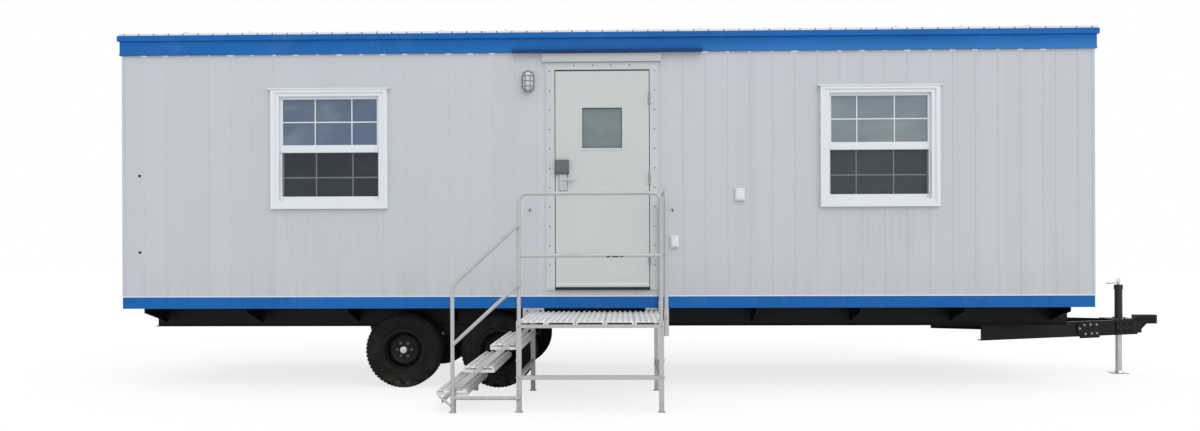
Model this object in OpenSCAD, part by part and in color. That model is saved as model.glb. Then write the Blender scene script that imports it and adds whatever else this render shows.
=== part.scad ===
// Portable site cabin on a road chassis, with a landing and steps at its door. Millimetres.
// Cabin axes: X along the box towards the hitch, Y from the door side to the back, Z up from
// the ground. The drawing is shifted so that the origin is under the middle of the whole.

/* [Box] */
// Length of the box over its siding
box_l = 9144; // [8000:1:12000]
// Width of the box over its siding
box_w = 2438; // [2300:1:3000]
// Height of the box's lower edge above the ground
skirt_z = 769; // [750:1:900]
// Thickness of the floor
floor_t = 171; // [120:1:220]
// Thickness of a wall
wall_t = 100; // [80:1:140]
// Height of the walls above the floor
wall_h = 2260; // [2240:1:2700]
// Height of the painted band round the foot of the walls
base_h = 108; // [60:1:150]
// How far that band stands out
base_out = 4; // [2:0.5:10]

/* [Roof] */
// How far the fascia hangs below the top of the walls
fascia_drop = 22; // [10:1:60]
// Height of the fascia's flat face
fascia_h = 132; // [80:1:200]
// How far the fascia stands out from the siding
fascia_out = 20; // [10:1:40]
// Height of the lip over the fascia
lip_h = 50; // [30:1:80]
// How far the lip stands out from the siding
lip_out = 38; // [30:1:60]
// Height of the roof sheet's upright edge
roof_edge = 25; // [15:1:40]
// Thickness of the ceiling
ceil_t = 60; // [30:1:100]
// Rise of the roof in its middle
roof_crown = 60; // [30:1:150]

/* [Door] */
// Middle of the door along the box
door_x = -6; // [-300:1:300]
// Width of the door leaf
leaf_w = 880; // [700:1:1000]
// Height of the door leaf
leaf_h = 2034; // [1900:1:2050]
// Thickness of the door leaf
leaf_t = 44; // [38:1:50]
// Gap round the door leaf
door_gap = 7; // [6:0.5:10]
// Thickness of the sill under the door
sill_t = 18; // [10:1:30]
// Thickness of a door jamb
jamb_t = 38; // [25:1:50]
// How far the frame's outer flange reaches past the leaf
flange_w = 90; // [60:1:120]
// Width of the vision pane
lite_w = 383; // [250:1:450]
// Height of the vision pane
lite_h = 387; // [250:1:450]
// Height of the pane's lower edge above the foot of the leaf
lite_up = 1305; // [1270:1:1450]
// Height of the lever's spindle above the foot of the leaf
lever_up = 1015; // [950:1:1030]
// Distance of the spindle from the leaf's free edge
backset = 71; // [60:1:80]
// Reach of the lever's arm
lever_l = 117; // [90:1:140]

/* [Windows] */
// Middle of each window from the middle of the box
win_x = 2590; // [1700:1:3200]
// Width of a window over its casing
win_w = 1110; // [800:1:1300]
// Height of a window over its casing
win_h = 1133; // [900:1:1250]
// Height of the casing's foot above the floor
win_up = 773; // [700:1:900]
// Width of the casing that laps the siding
casing_w = 55; // [40:1:70]
// How far the casing stands out
casing_out = 35; // [25:1:50]
// Width of a sash's stiles and rails
sash_w = 26; // [20:1:30]
// Height of the meeting rail
meet_h = 69; // [50:1:80]

/* [Chassis] */
// Height of a main beam
beam_h = 199; // [150:1:230]
// Width of a main beam's flanges
beam_w = 102; // [80:1:120]
// Distance of each main beam's middle behind the siding
beam_in = 454; // [440:1:600]
// Height of a drawbar rail
rail_h = 152; // [120:1:180]
// Length of the hitch in front of the box
hitch_l = 1219; // [1150:1:1500]
// Radius of the hitch ball's socket
socket_r = 29.9; // [25:0.1:32]
// Middle of the axle pair along the box
axle_x = -1468; // [-1800:1:-1300]
// Distance between the two axles
axle_gap = 916; // [850:1:950]
// Radius of a tyre
tyre_r = 360; // [340:1:362]
// Width of a tyre
tyre_w = 222; // [200:1:225]
// Outer side of the tyres behind the siding
wheel_in = 120; // [110:1:140]
// Radius of the wheels' lug circle
lug_pcr = 69.85; // [60:0.05:80]

/* [Tongue jack] */
// Distance of the jack in front of the box
jack_out = 825; // [780:1:850]
// Radius of the jack's outer tube
jack_r = 38; // [30:1:42]
// Height of the jack's top
jack_top = 934; // [920:1:1000]
// Lift of the jack's leg
jack_travel = 250; // [150:1:260]

/* [Landing and steps] */
// Middle of the landing from the middle of the door
landing_off = -76; // [-100:1:-40]
// Width of the landing along the wall
landing_w = 1196; // [1150:1:1300]
// Depth of the landing
landing_d = 1280; // [1150:1:1500]
// Gap between the landing and the siding
landing_gap = 31; // [25:1:60]
// Height of the landing's deck
deck_z = 742; // [700:1:760]
// Number of planks in the deck
planks = 5; // [4:1:6]
// Number of treads below the deck
treads = 3; // [3:1:3]
// Step from tread to tread along the flight
going = 220.5; // [210:0.5:240]
// Depth of a tread
tread_d = 253; // [240:1:280]
// Width of a leg
leg_w = 40; // [38:1:50]
// Radius of the guard tubes
tube_r = 16; // [14:0.5:17]
// Height of the guards above the deck
guard_h = 1048; // [900:1:1060]
// Height of the guards' middle rail above the deck
mid_h = 528; // [450:1:600]
// Radius of the guards' bends
bend_r = 70; // [50:1:120]

/* [Hidden] */
$fn = 96;

// Gap left between fitted pieces, and the running gap of pins and tubes
fit = 0.3;
run = 0.06;

// Box
half_l = box_l / 2;
half_w = box_w / 2;
floor_z = skirt_z + floor_t;
ceil_z = floor_z + wall_h;
fascia_z = ceil_z - fascia_drop;
lip_z = fascia_z + fascia_h;
roof_z = lip_z + lip_h;
roof_w = box_w + 2 * (lip_out - 13);
roof_l = box_l + 2 * (lip_out - 13);
bow_n = 12;

// Door
leaf_x0 = door_x - leaf_w / 2;
leaf_x1 = door_x + leaf_w / 2;
leaf_z = floor_z + sill_t + door_gap;
leaf_top = leaf_z + leaf_h;
flange_t = 12;
leaf_y = -half_w - flange_t + 4;
jamb_x0 = leaf_x0 - door_gap - jamb_t;
jamb_x1 = leaf_x1 + door_gap + jamb_t;
head_z = leaf_top + door_gap + jamb_t;
flange_top = leaf_top + flange_w - 8;
stop_w = 12;
trim_over = [36, 26];
trim_t = 24;
trim_h = 80;
gutter_over = [310, 406];
gutter_w = 42;
gutter_h = 46;
hinge_x = leaf_x1 + door_gap / 2;
hinge_y = leaf_y - 9.5;
hinge_h = 100;
hinge_in = 260;
knuckle_r = 8;
pin_r = 5;
lever_x = leaf_x0 + backset;
lever_z = leaf_z + lever_up;
plate_t = 6;
neck_r = 10;
lock_w = 127;
lock_h = 132;
lock_z = lever_z + 51;

// Windows
win_z = floor_z + win_up;
frame_side = 80;
frame_head = 68;
frame_sill = 77;
in_w = win_w - 2 * frame_side;
in_z0 = win_z + frame_sill;
in_z1 = win_z + win_h - frame_head;
meet_z = in_z0 + (in_z1 - in_z0 - meet_h) / 2;
pane_w = in_w - 2 * sash_w;
pane_t = 6;
cap_out = 8;

// Chassis
beam_z = skirt_z - beam_h;
beam_y = half_w - beam_in;
beam_t = 8;
web_t = 6;
beam_x0 = -half_l + 122;
beam_x1 = half_l - 52;
cross_step = 970;
cross_w = 50;
rail_w = 50;
rail_t = 8;
rail_z = beam_z - rail_h;
rail_p = [half_l - 892, beam_y + 25];
rail_q = [half_l + hitch_l - 231, 70];
rail_a = atan2(rail_p[1] - rail_q[1], rail_q[0] - rail_p[0]);
rail_l = norm(rail_q - rail_p);
tip_x = half_l + hitch_l;
nose_r = 52;
strap_t = 10;
axle_xs = [axle_x - axle_gap / 2, axle_x + axle_gap / 2];
axle_r = 38;
spindle_r = 22;
spindle_l = 120;
drum_r = 150;
drum_in = 105;
wheel_y = half_w - wheel_in - tyre_w / 2;
spring_half = 330;
spring_w = 45;
seat_z = tyre_r + axle_r + 10;
leaf_sag = 55;
leaf_arc = (spring_half * spring_half + leaf_sag * leaf_sag) / (2 * leaf_sag);
leaf_th = 8;
eye_z = seat_z + 8 + 3 * leaf_th + leaf_sag;
eye_r = 16;

// Jack
jack_x = half_l + jack_out;
jack_bore = jack_r - 6;
jack_foot = 75;
plate_z = beam_z;

// Landing
landing_x = door_x + landing_off;
land_x0 = landing_x - landing_w / 2;
land_x1 = landing_x + landing_w / 2;
land_y1 = -half_w - landing_gap;
land_y0 = land_y1 - landing_d;
plank_t = 30;
plank_ribs = 5;
rib_w = 30;
rib_top = 18;
rib_h = 12;
side_w = 18;
rim_h = 28;
rim_z = deck_z - plank_t - rim_h;
hold_w = 200;
hold_t = 6;
hold_in = 8;
tie_z = 265;
foot_t = 8;
foot_w = leg_w + 16;
leg_xs = [land_x0 + leg_w / 2, land_x1 - leg_w / 2];
leg_ys = [land_y0 + leg_w / 2, land_y1 - leg_w / 2];
sleeve_r = tube_r + 5;
sleeve_x = land_x1 + sleeve_r - 1;
sleeve_z = rim_z - 66;
sleeve_h = 219;
socket_d = 150;
end_up = 26;
rail_top = deck_z + guard_h - tube_r;
mid_z = deck_z + mid_h;

// Steps
rise = deck_z / (treads + 1);
tread_t = 50;
end_t = 4;
end_slot = 24;
tread_x0 = land_x0 + 6 - going;
bar_t = 12;
bar_y0 = land_y0 + 14;
bar_y1 = land_y1 - 14;
bar_h = 46;
post_x = tread_x0 - 2 * going + 140;
hand_y = land_y0 - tube_r - fit;
post_h = 977;
hand_turn = 47.5;
hand_bend = 120;
bend_n = 4;
hand_run = leg_xs[0] - post_x - hand_bend * (1 - cos(hand_turn));
hand_high = post_h + hand_bend * sin(hand_turn) + hand_run / tan(hand_turn);
hand_low = hand_high - (leg_xs[0] - post_x) / tan(hand_turn);
rail_drop = 480;
tie_low = 120;

// The origin lies under the middle of the whole
x_lo = -half_l - lip_out;
x_hi = tip_x;
y_lo = hand_y - leg_w / 2;
y_hi = half_w + max(lip_out, casing_out + cap_out);

// Helpers

// Shifts the cabin so that the origin is under its middle.
module place() translate([-(x_lo + x_hi) / 2, -(y_lo + y_hi) / 2, 0]) children();

// A box between two corners.
module span(lo, hi) translate(lo) cube(hi - lo);

// The children and their mirror image across the centreline.
module both_sides() {
    children();
    mirror([0, 1, 0]) children();
}

// Draws a profile that is given in X and Z as a slab from y0 to y1.
module slab_y(y0, y1) translate([0, y1, 0]) rotate([90, 0, 0]) linear_extrude(y1 - y0) children();

// Draws a profile that is given in Y and Z as a bar from x0 to x1.
module bar_x(x0, x1) translate([x0, 0, 0]) rotate([90, 0, 90]) linear_extrude(x1 - x0) children();

// A round bar between two points in a plane of one Y.
module rod(p, q, y, r) {
    run_x = q[0] - p[0];
    run_z = q[1] - p[1];
    translate([p[0], y, p[1]]) rotate([0, atan2(run_x, run_z), 0])
        cylinder(r = r, h = norm([run_x, run_z]));
}

// A quarter bend of tube in the XZ plane; turn is the angle where it starts.
module elbow(c, turn, sweep, big, r) translate(c) rotate([90, 0, 0]) rotate([0, 0, turn])
    rotate_extrude(angle = sweep) translate([big, 0]) circle(r);

// Chassis

module floor_deck() color([0.55, 0.47, 0.38])
    span([-half_l, -half_w, skirt_z], [half_l, half_w, floor_z]);

module beam_profile() {
    translate([-beam_w / 2, 0]) square([beam_w, beam_t]);
    translate([-beam_w / 2, beam_h - beam_t]) square([beam_w, beam_t]);
    translate([-web_t / 2, 0]) square([web_t, beam_h]);
}

module main_beams() color([0.08, 0.08, 0.09])
    both_sides() bar_x(beam_x0, beam_x1) translate([beam_y, beam_z]) beam_profile();

// A cross channel between the webs, and a tapered outrigger outside each beam.
module crossmembers() color([0.08, 0.08, 0.09])
    for (k = [ceil((beam_x0 - axle_x) / cross_step):floor((beam_x1 - cross_w - axle_x) / cross_step)])
    translate([axle_x + k * cross_step, 0, 0]) {
        translate([0, beam_y - web_t / 2, beam_z + 30]) rotate([90, 0, 0])
            linear_extrude(2 * beam_y - web_t) difference() {
                square([cross_w, beam_h - 60]);
                translate([6, 6]) square([cross_w, beam_h - 72]);
            }
        both_sides() bar_x(0, 10) polygon([
            [beam_y + web_t / 2, beam_z + 40], [beam_y + beam_w / 2 + 4, beam_z + 60],
            [half_w - 14, skirt_z - 42], [half_w - 14, skirt_z],
            [beam_y + beam_w / 2 + 4, skirt_z],
            [beam_y + beam_w / 2 + 4, skirt_z - beam_t],
            [beam_y + web_t / 2, skirt_z - beam_t]]);
    }

// Stands the children at a rail's rear end, with X along the rail and Y out of its web.
module along_rail() translate([rail_p[0], rail_p[1], 0]) rotate([0, 0, -rail_a]) children();

module drawbar_rails() color([0.08, 0.08, 0.09])
    both_sides() along_rail() bar_x(0, rail_l) difference() {
        translate([-rail_w, rail_z]) square([rail_w, rail_h]);
        translate([-rail_w - rail_t, rail_z + rail_t]) square([rail_w, rail_h - 2 * rail_t]);
    }

// Two straps on the rails and a nose with the socket for a hitch ball.
module coupler() color([0.1, 0.1, 0.11]) {
    ball_x = tip_x - nose_r;
    nose_z = rail_z + 108;
    nose_top = rail_z + rail_h + 46;
    throat = 40;
    difference() {
        union() {
            both_sides() along_rail() span([rail_l - 300, 0, rail_z + 16],
                                           [rail_l + 45, strap_t, rail_z + rail_h - 16]);
            translate([0, 0, nose_z]) linear_extrude(nose_top - nose_z) polygon([
                [rail_q[0] + 6, -66], [ball_x, -nose_r], [ball_x, nose_r], [rail_q[0] + 6, 66]]);
            translate([ball_x, 0, nose_z]) cylinder(r = nose_r, h = nose_top - nose_z);
            slab_y(-58, 58) polygon([[rail_q[0] + 6, rail_z + 10], [rail_q[0] + 6, nose_z + 1],
                                     [rail_q[0] + 100, nose_z + 1]]);
        }
        translate([ball_x, 0, nose_z - 1]) cylinder(r = socket_r, h = throat + 1);
        translate([ball_x, 0, nose_z + throat]) sphere(socket_r);
    }
}

// The bolted plate across the rails, the outer tube and its gear head.
module jack_tube() color([0.13, 0.14, 0.15]) {
    reach = (rail_q[0] - jack_x) * tan(rail_a) + rail_q[1];
    spread = 130 * tan(rail_a);
    difference() {
        union() {
            translate([jack_x, 0, plate_z]) linear_extrude(10) polygon([
                [-130, -reach - spread + 30], [130, -reach + spread + 30],
                [130, reach - spread - 30], [-130, reach + spread - 30]]);
            translate([jack_x, 0, plate_z]) cylinder(r = jack_r + 22, h = 22);
            translate([jack_x, 0, rail_z + 60]) cylinder(r = jack_r, h = jack_top - rail_z - 60);
            translate([jack_x, 0, jack_top - 46]) cylinder(r = jack_r + 5, h = 40);
        }
        translate([jack_x, 0, rail_z + 59])
            cylinder(r = jack_bore, h = jack_top - rail_z - 59 - 12);
    }
}

module jack_crank() color([0.78, 0.78, 0.76]) translate([jack_x, 0, jack_top]) {
    cylinder(r = 14, h = 32);
    span([-64, -9, 10], [0, 9, 24]);
    translate([-112, 0, 17]) rotate([0, 90, 0]) cylinder(r = 8, h = 54);
    translate([-112, 0, 17]) sphere(8);
    translate([0, 0, 46]) rotate([90, 0, 0]) rotate_extrude() translate([17, 0]) circle(5);
}

module jack_leg() color([0.62, 0.63, 0.63]) translate([jack_x, 0, 0]) {
    span([-jack_foot, -jack_foot, 0], [jack_foot, jack_foot, 10]);
    cylinder(r = jack_bore - run, h = jack_top - jack_travel - 30);
    translate([0, 0, 10]) cylinder(r1 = jack_bore + 16, r2 = jack_bore - 1, h = 24);
}

// Running gear

module axles() color([0.1, 0.1, 0.11])
    for (x = axle_xs) translate([x, 0, tyre_r]) {
        both_sides() {
            rotate([90, 0, 0]) cylinder(r = axle_r, h = wheel_y - drum_in + 1);
            translate([0, -wheel_y + drum_in, 0]) rotate([90, 0, 0]) cylinder(r = drum_r, h = 5);
            translate([0, -wheel_y + drum_in + 1, 0]) rotate([90, 0, 0])
                cylinder(r = spindle_r, h = spindle_l);
            span([-50, -beam_y - 30, 0], [50, -beam_y + 30, axle_r + 10]);
        }
    }

// A pack of three arcs with rolled eyes and a clamped seat, over each axle end.
module leaf_springs() color([0.09, 0.09, 0.1])
    both_sides() for (x = axle_xs) translate([x, 0, 0]) difference() {
        union() {
            slab_y(-beam_y - spring_w / 2, -beam_y + spring_w / 2) {
                arc_z = seat_z + 8 + leaf_arc;
                for (n = [0:2]) intersection() {
                    translate([0, arc_z]) difference() {
                        circle(leaf_arc - n * leaf_th);
                        circle(leaf_arc - (n + 1) * leaf_th - 0.2);
                    }
                    translate([-spring_half * (n + 1) / 3, seat_z])
                        square([2 * spring_half * (n + 1) / 3, leaf_sag + 60]);
                }
                for (s = [-1, 1]) translate([s * spring_half, eye_z]) circle(eye_r);
            }
            span([-50, -beam_y - 30, seat_z], [50, -beam_y + 30, seat_z + 13]);
            span([-45, -beam_y - 30, seat_z + 28], [45, -beam_y + 30, seat_z + 42]);
        }
        for (s = [-1, 1]) translate([s * spring_half, -beam_y, eye_z]) rotate([90, 0, 0])
            cylinder(r = 8, h = 100, center = true);
    }

// Two cheeks under a beam with a top plate and the pins through the springs' eyes.
module hanger(x0, x1, pins) {
    cheek = spring_w / 2 + 1;
    for (s = [-1, 1]) slab_y(-beam_y + s * (cheek + 3) - 3, -beam_y + s * (cheek + 3) + 3)
        polygon([[x0, beam_z], [x1, beam_z], [x1 - 20, eye_z - 24], [x0 + 20, eye_z - 24]]);
    span([x0, -beam_y - cheek - 6, beam_z - 8], [x1, -beam_y + cheek + 6, beam_z]);
    for (x = pins) translate([x, -beam_y, eye_z]) rotate([90, 0, 0])
        cylinder(r = 8 - run, h = 2 * cheek + 20, center = true);
}

module spring_hangers() color([0.09, 0.09, 0.1]) both_sides() {
    hanger(axle_xs[0] - spring_half - 60, axle_xs[0] - spring_half + 60,
           [axle_xs[0] - spring_half]);
    hanger(axle_xs[0] + spring_half - 60, axle_xs[1] - spring_half + 60,
           [axle_xs[0] + spring_half, axle_xs[1] - spring_half]);
    hanger(axle_xs[1] + spring_half - 60, axle_xs[1] + spring_half + 60,
           [axle_xs[1] + spring_half]);
}

// Stands the children at a wheel's middle, with Z out of the wheel; side is -1 on the door side.
module at_wheel(i, side) translate([axle_xs[i], side * wheel_y, tyre_r])
    rotate([side < 0 ? 90 : -90, 0, 0]) children();

// A hollow tyre: crown with two grooves, round shoulders, sidewalls and beads on the rim.
module tyre(i, side) color([0.07, 0.07, 0.07]) at_wheel(i, side) rotate_extrude() difference() {
    union() {
        half = tyre_w / 2;
        translate([tyre_r - 46, -half + 34]) square([46, tyre_w - 68]);
        for (s = [-1, 1]) translate([tyre_r - 34, s * (half - 34)]) circle(34);
        translate([262, -half]) square([tyre_r - 34 - 262, tyre_w]);
        for (s = [-1, 1]) translate([262, s * (half - 40)]) circle(40);
        translate([rim_seat + fit, -rim_half + 8]) square([60, 2 * rim_half - 16]);
    }
    translate([rim_seat - 1, -rim_half + 26]) square([60, 2 * rim_half - 52]);
    translate([244, -tyre_w / 2 + 14]) square([tyre_r - 262, tyre_w - 28]);
    for (z = [-26, 26]) translate([tyre_r - 8, z - 5]) square([9, 10]);
}

rim_seat = 190;
rim_half = 86;
disc_z = 30;

// A rolled rim with a drop centre, a dished disc with hand holes, and the hub with its cap.
module rim(i, side) color([0.12, 0.12, 0.13]) at_wheel(i, side) difference() {
    union() {
        rotate_extrude() {
            for (s = [-1, 1]) {
                translate([rim_seat - 6, s > 0 ? rim_half - 8 : -rim_half]) square([18, 8]);
                translate([rim_seat - 6, s > 0 ? 40 : -rim_half]) square([6, rim_half - 40]);
                translate([rim_seat - 22, s > 0 ? 34 : -40]) square([22, 6]);
            }
            translate([rim_seat - 22, -40]) square([6, 80]);
            translate([0, disc_z - 8]) square([100, 8]);
            polygon([[96, disc_z - 8], [96, disc_z], [130, disc_z + 8], [rim_seat - 17, disc_z - 20],
                     [rim_seat - 17, disc_z - 28], [130, disc_z]]);
            translate([0, -95]) square([48, 95 + disc_z]);
            translate([0, -95]) square([140, 50]);
            translate([0, disc_z - 4]) square([32, 62]);
            translate([0, disc_z + 58]) square([24, 8]);
        }
        for (k = [0:5]) rotate([0, 0, 60 * k]) translate([lug_pcr, 0, disc_z - 1])
            cylinder(r = 11, h = 19);
    }
    translate([0, 0, -96]) cylinder(r = spindle_r + run, h = 96 + 21);
    for (k = [0:5]) rotate([0, 0, 60 * k + 30]) translate([140, 0, -20]) cylinder(r = 15, h = 80);
}

// Walls

// The openings for the two windows of a long wall, seen from its outer side.
module window_holes() for (s = [-1, 1])
    translate([s * win_x - win_w / 2 + casing_w, -half_w - 1, win_z + casing_w])
        cube([win_w - 2 * casing_w, wall_t + 2, win_h - 2 * casing_w]);

module front_wall_left() color([0.75, 0.77, 0.8]) difference() {
    span([-half_l, -half_w, floor_z], [jamb_x0 - fit, -half_w + wall_t, ceil_z]);
    window_holes();
}

module front_wall_right() color([0.75, 0.77, 0.8]) difference() {
    span([jamb_x1 + fit, -half_w, floor_z], [half_l, -half_w + wall_t, ceil_z]);
    window_holes();
}

module front_wall_over_door() color([0.75, 0.77, 0.8])
    span([jamb_x0 - fit, -half_w, head_z + fit], [jamb_x1 + fit, -half_w + wall_t, ceil_z]);

module back_wall() color([0.75, 0.77, 0.8]) mirror([0, 1, 0]) difference() {
    span([-half_l, -half_w, floor_z], [half_l, -half_w + wall_t, ceil_z]);
    window_holes();
}

module end_wall() span([0, -half_w + wall_t, floor_z], [wall_t, half_w - wall_t, ceil_z]);

module rear_end_wall() color([0.75, 0.77, 0.8]) translate([-half_l, 0, 0]) end_wall();

module hitch_end_wall() color([0.75, 0.77, 0.8]) translate([half_l - wall_t, 0, 0]) end_wall();

// A band round the box from z0 to z1, standing out by a given distance.
module ring_band(out, z0, z1) difference() {
    span([-half_l - out, -half_w - out, z0], [half_l + out, half_w + out, z1]);
    span([-half_l, -half_w, z0 - 1], [half_l, half_w, z1 + 1]);
}

// Saw cuts that part a band at its four mitres.
module mitre_cuts(out, z0, z1) for (sx = [-1, 1], sy = [-1, 1])
    translate([sx * half_l, sy * half_w, z0 - 1]) rotate([0, 0, atan2(sy, sx)])
        translate([-20, -0.5, 0]) cube([2 * out + 40, 1, z1 - z0 + 2]);

module base_band() color([0.11, 0.38, 0.68]) difference() {
    ring_band(base_out, skirt_z, skirt_z + base_h);
    mitre_cuts(base_out, skirt_z, skirt_z + base_h);
}

// Roof

module ceiling() color([0.85, 0.85, 0.83])
    span([-half_l, -half_w, ceil_z], [half_l, half_w, ceil_z + ceil_t]);

// A bowed roof that laps over the fascia's lip.
module roof_deck() color([0.9, 0.91, 0.91])
    bar_x(-roof_l / 2, roof_l / 2) polygon(concat(
        [[roof_w / 2, roof_z], [-roof_w / 2, roof_z]],
        [for (k = [-bow_n:bow_n]) [k * roof_w / 2 / bow_n,
            roof_z + roof_edge + roof_crown * (1 - k * k / bow_n / bow_n)]]));

module roof_fascia() color([0.16, 0.42, 0.71]) difference() {
    union() {
        ring_band(fascia_out, fascia_z, lip_z);
        ring_band(lip_out, lip_z, roof_z);
    }
    mitre_cuts(lip_out, fascia_z, roof_z);
}

// An open trough on the fascia over the door.
module rain_gutter() color([0.1, 0.2, 0.38])
    bar_x(leaf_x0 - flange_w - gutter_over[0], leaf_x1 + flange_w + gutter_over[1])
        translate([-half_w - fascia_out, fascia_z - 10]) difference() {
            polygon([[0, 0], [-gutter_w, 0], [-gutter_w - 16, gutter_h], [0, gutter_h]]);
            polygon([[-3, 3], [2 - gutter_w, 3], [-gutter_w - 14, gutter_h + 1], [-3, gutter_h + 1]]);
        }

module door_head_trim() color([0.76, 0.78, 0.8])
    bar_x(leaf_x0 - flange_w - trim_over[0], leaf_x1 + flange_w + trim_over[1])
        translate([-half_w, flange_top + 4]) polygon([[0, 0], [-trim_t - 12, 0], [-trim_t - 12, 9],
            [-trim_t, 14], [-trim_t, trim_h], [0, trim_h]]);

// Door

// Jambs, head, stop and outer flange in one welded frame, cut back round the hinges' knuckles.
module door_frame() color([0.72, 0.74, 0.75]) {
    slab_y(-half_w, -half_w + wall_t) difference() {
        translate([jamb_x0, floor_z]) square([jamb_x1 - jamb_x0, head_z - floor_z]);
        translate([leaf_x0 - door_gap, floor_z - 1])
            square([leaf_w + 2 * door_gap, leaf_top + door_gap - floor_z + 1]);
    }
    difference() {
        slab_y(-half_w - flange_t, -half_w) difference() {
            translate([leaf_x0 - flange_w, floor_z])
                square([leaf_w + 2 * flange_w, flange_top - floor_z]);
            translate([leaf_x0 - door_gap, floor_z - 1])
                square([leaf_w + 2 * door_gap, leaf_top + door_gap - floor_z + 1]);
        }
        for (z = hinge_zs) translate([hinge_x, hinge_y, z - 1])
            cylinder(r = knuckle_r + 2, h = hinge_h + 2);
    }
    slab_y(leaf_y + leaf_t + 7, leaf_y + leaf_t + 27) difference() {
        translate([leaf_x0 - door_gap - 1, leaf_z])
            square([leaf_w + 2 * door_gap + 2, leaf_h + door_gap + 1]);
        translate([leaf_x0 - door_gap + stop_w, leaf_z - 1])
            square([leaf_w + 2 * door_gap - 2 * stop_w, leaf_h + door_gap - stop_w + 1]);
    }
}

module door_sill() color([0.25, 0.25, 0.26])
    span([leaf_x0 - door_gap, -half_w - 30, floor_z],
         [leaf_x1 + door_gap, -half_w + wall_t, floor_z + sill_t]);

// Heights of the three hinges' lower ends.
hinge_zs = [for (k = [0:2]) leaf_z + hinge_in - hinge_h / 2 + k * (leaf_h - 2 * hinge_in) / 2];

// The frame's half of each hinge: plate, outer knuckles and the pin.
module frame_hinges() color([0.7, 0.71, 0.72]) for (z = hinge_zs) translate([hinge_x, 0, z]) {
    plate_y = -half_w - flange_t;
    difference() {
        span([0, plate_y - 3, 0], [46, plate_y, hinge_h]);
        translate([0, hinge_y, 29]) cylinder(r = knuckle_r + 2, h = 42);
    }
    for (z0 = [0, 71]) translate([0, hinge_y, z0]) cylinder(r = knuckle_r, h = 29);
    translate([0, hinge_y, 0]) cylinder(r = pin_r, h = hinge_h);
}

// The leaf's half: plate and middle knuckle.
module door_hinges() color([0.7, 0.71, 0.72]) for (z = hinge_zs) translate([hinge_x, 0, z])
    difference() {
        union() {
            span([-44, leaf_y - 3, 0], [0, leaf_y, hinge_h]);
            translate([0, hinge_y, 30]) cylinder(r = knuckle_r, h = 40);
        }
        translate([0, hinge_y, -1]) cylinder(r = knuckle_r + 2, h = 31);
        translate([0, hinge_y, 70]) cylinder(r = knuckle_r + 2, h = 31);
        translate([0, hinge_y, -1]) cylinder(r = pin_r + run, h = hinge_h + 2);
    }

module door_leaf() color([0.77, 0.78, 0.78]) difference() {
    span([leaf_x0, leaf_y, leaf_z], [leaf_x1, leaf_y + leaf_t, leaf_top]);
    span([door_x - lite_w / 2, leaf_y - 1, leaf_z + lite_up],
         [door_x + lite_w / 2, leaf_y + leaf_t + 1, leaf_z + lite_up + lite_h]);
    translate([lever_x, leaf_y - 1, lever_z]) rotate([-90, 0, 0])
        cylinder(r = neck_r + 2, h = leaf_t + 2);
}

module door_pane() color([0.2, 0.25, 0.28, 0.5])
    span([door_x - lite_w / 2, leaf_y + 16, leaf_z + lite_up],
         [door_x + lite_w / 2, leaf_y + 28, leaf_z + lite_up + lite_h]);

// Escutcheons on both faces of the leaf, and the hooded lock guard over the outer one.
module door_locks() color([0.4, 0.41, 0.43]) {
    difference() {
        for (y = [leaf_y - plate_t, leaf_y + leaf_t])
            span([lever_x - 36, y, lever_z - 104], [lever_x + 36, y + plate_t, lever_z + 47]);
        translate([lever_x, leaf_y - 20, lever_z]) rotate([-90, 0, 0])
            cylinder(r = neck_r + run, h = leaf_t + 40);
    }
    span([leaf_x0, leaf_y - 3, lock_z], [leaf_x0 + lock_w, leaf_y, lock_z + lock_h + 45]);
    difference() {
        bar_x(leaf_x0, leaf_x0 + lock_w) translate([leaf_y, lock_z])
            polygon([[-2, 0], [-34, 0], [-42, 24], [-42, lock_h - 6], [-34, lock_h], [-2, lock_h]]);
        bar_x(leaf_x0 + 3, leaf_x0 + lock_w - 3) translate([leaf_y, lock_z])
            polygon([[-3, -1], [-31, -1], [-39, 24], [-39, lock_h - 5], [-34, lock_h - 3],
                     [-3, lock_h - 3]]);
    }
}

// One arm on each face, joined by the necks and the spindle.
module door_lever() color([0.7, 0.71, 0.72]) translate([lever_x, 0, lever_z]) {
    for (out = [-1, 1]) {
        face = out < 0 ? leaf_y : leaf_y + leaf_t;
        translate([0, face, 0]) rotate([-90 * out, 0, 0]) translate([0, 0, -2]) {
            cylinder(r = neck_r, h = 40);
            translate([0, 0, 28]) cylinder(r = 12, h = 16);
        }
        translate([0, face + out * 34, 0]) {
            span([0, -7, -10], [lever_l - 9, 7, 8]);
            translate([lever_l - 9, -7, -1]) rotate([-90, 0, 0]) cylinder(r = 9, h = 14);
        }
    }
    translate([0, leaf_y, 0]) rotate([-90, 0, 0]) cylinder(r = 7, h = leaf_t);
}

// Windows

// The children at each window of both long sides, with the outer face towards -Y.
module each_window() for (s = [-1, 1]) {
    translate([s * win_x, -half_w, 0]) children();
    mirror([0, 1, 0]) translate([s * win_x, -half_w, 0]) children();
}

// A flat ring in X and Z between two rectangles.
module ring_xz(w0, z0, z1, w1, z2, z3) difference() {
    translate([-w0 / 2, z0]) square([w0, z1 - z0]);
    translate([-w1 / 2, z2]) square([w1, z3 - z2]);
}

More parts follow.
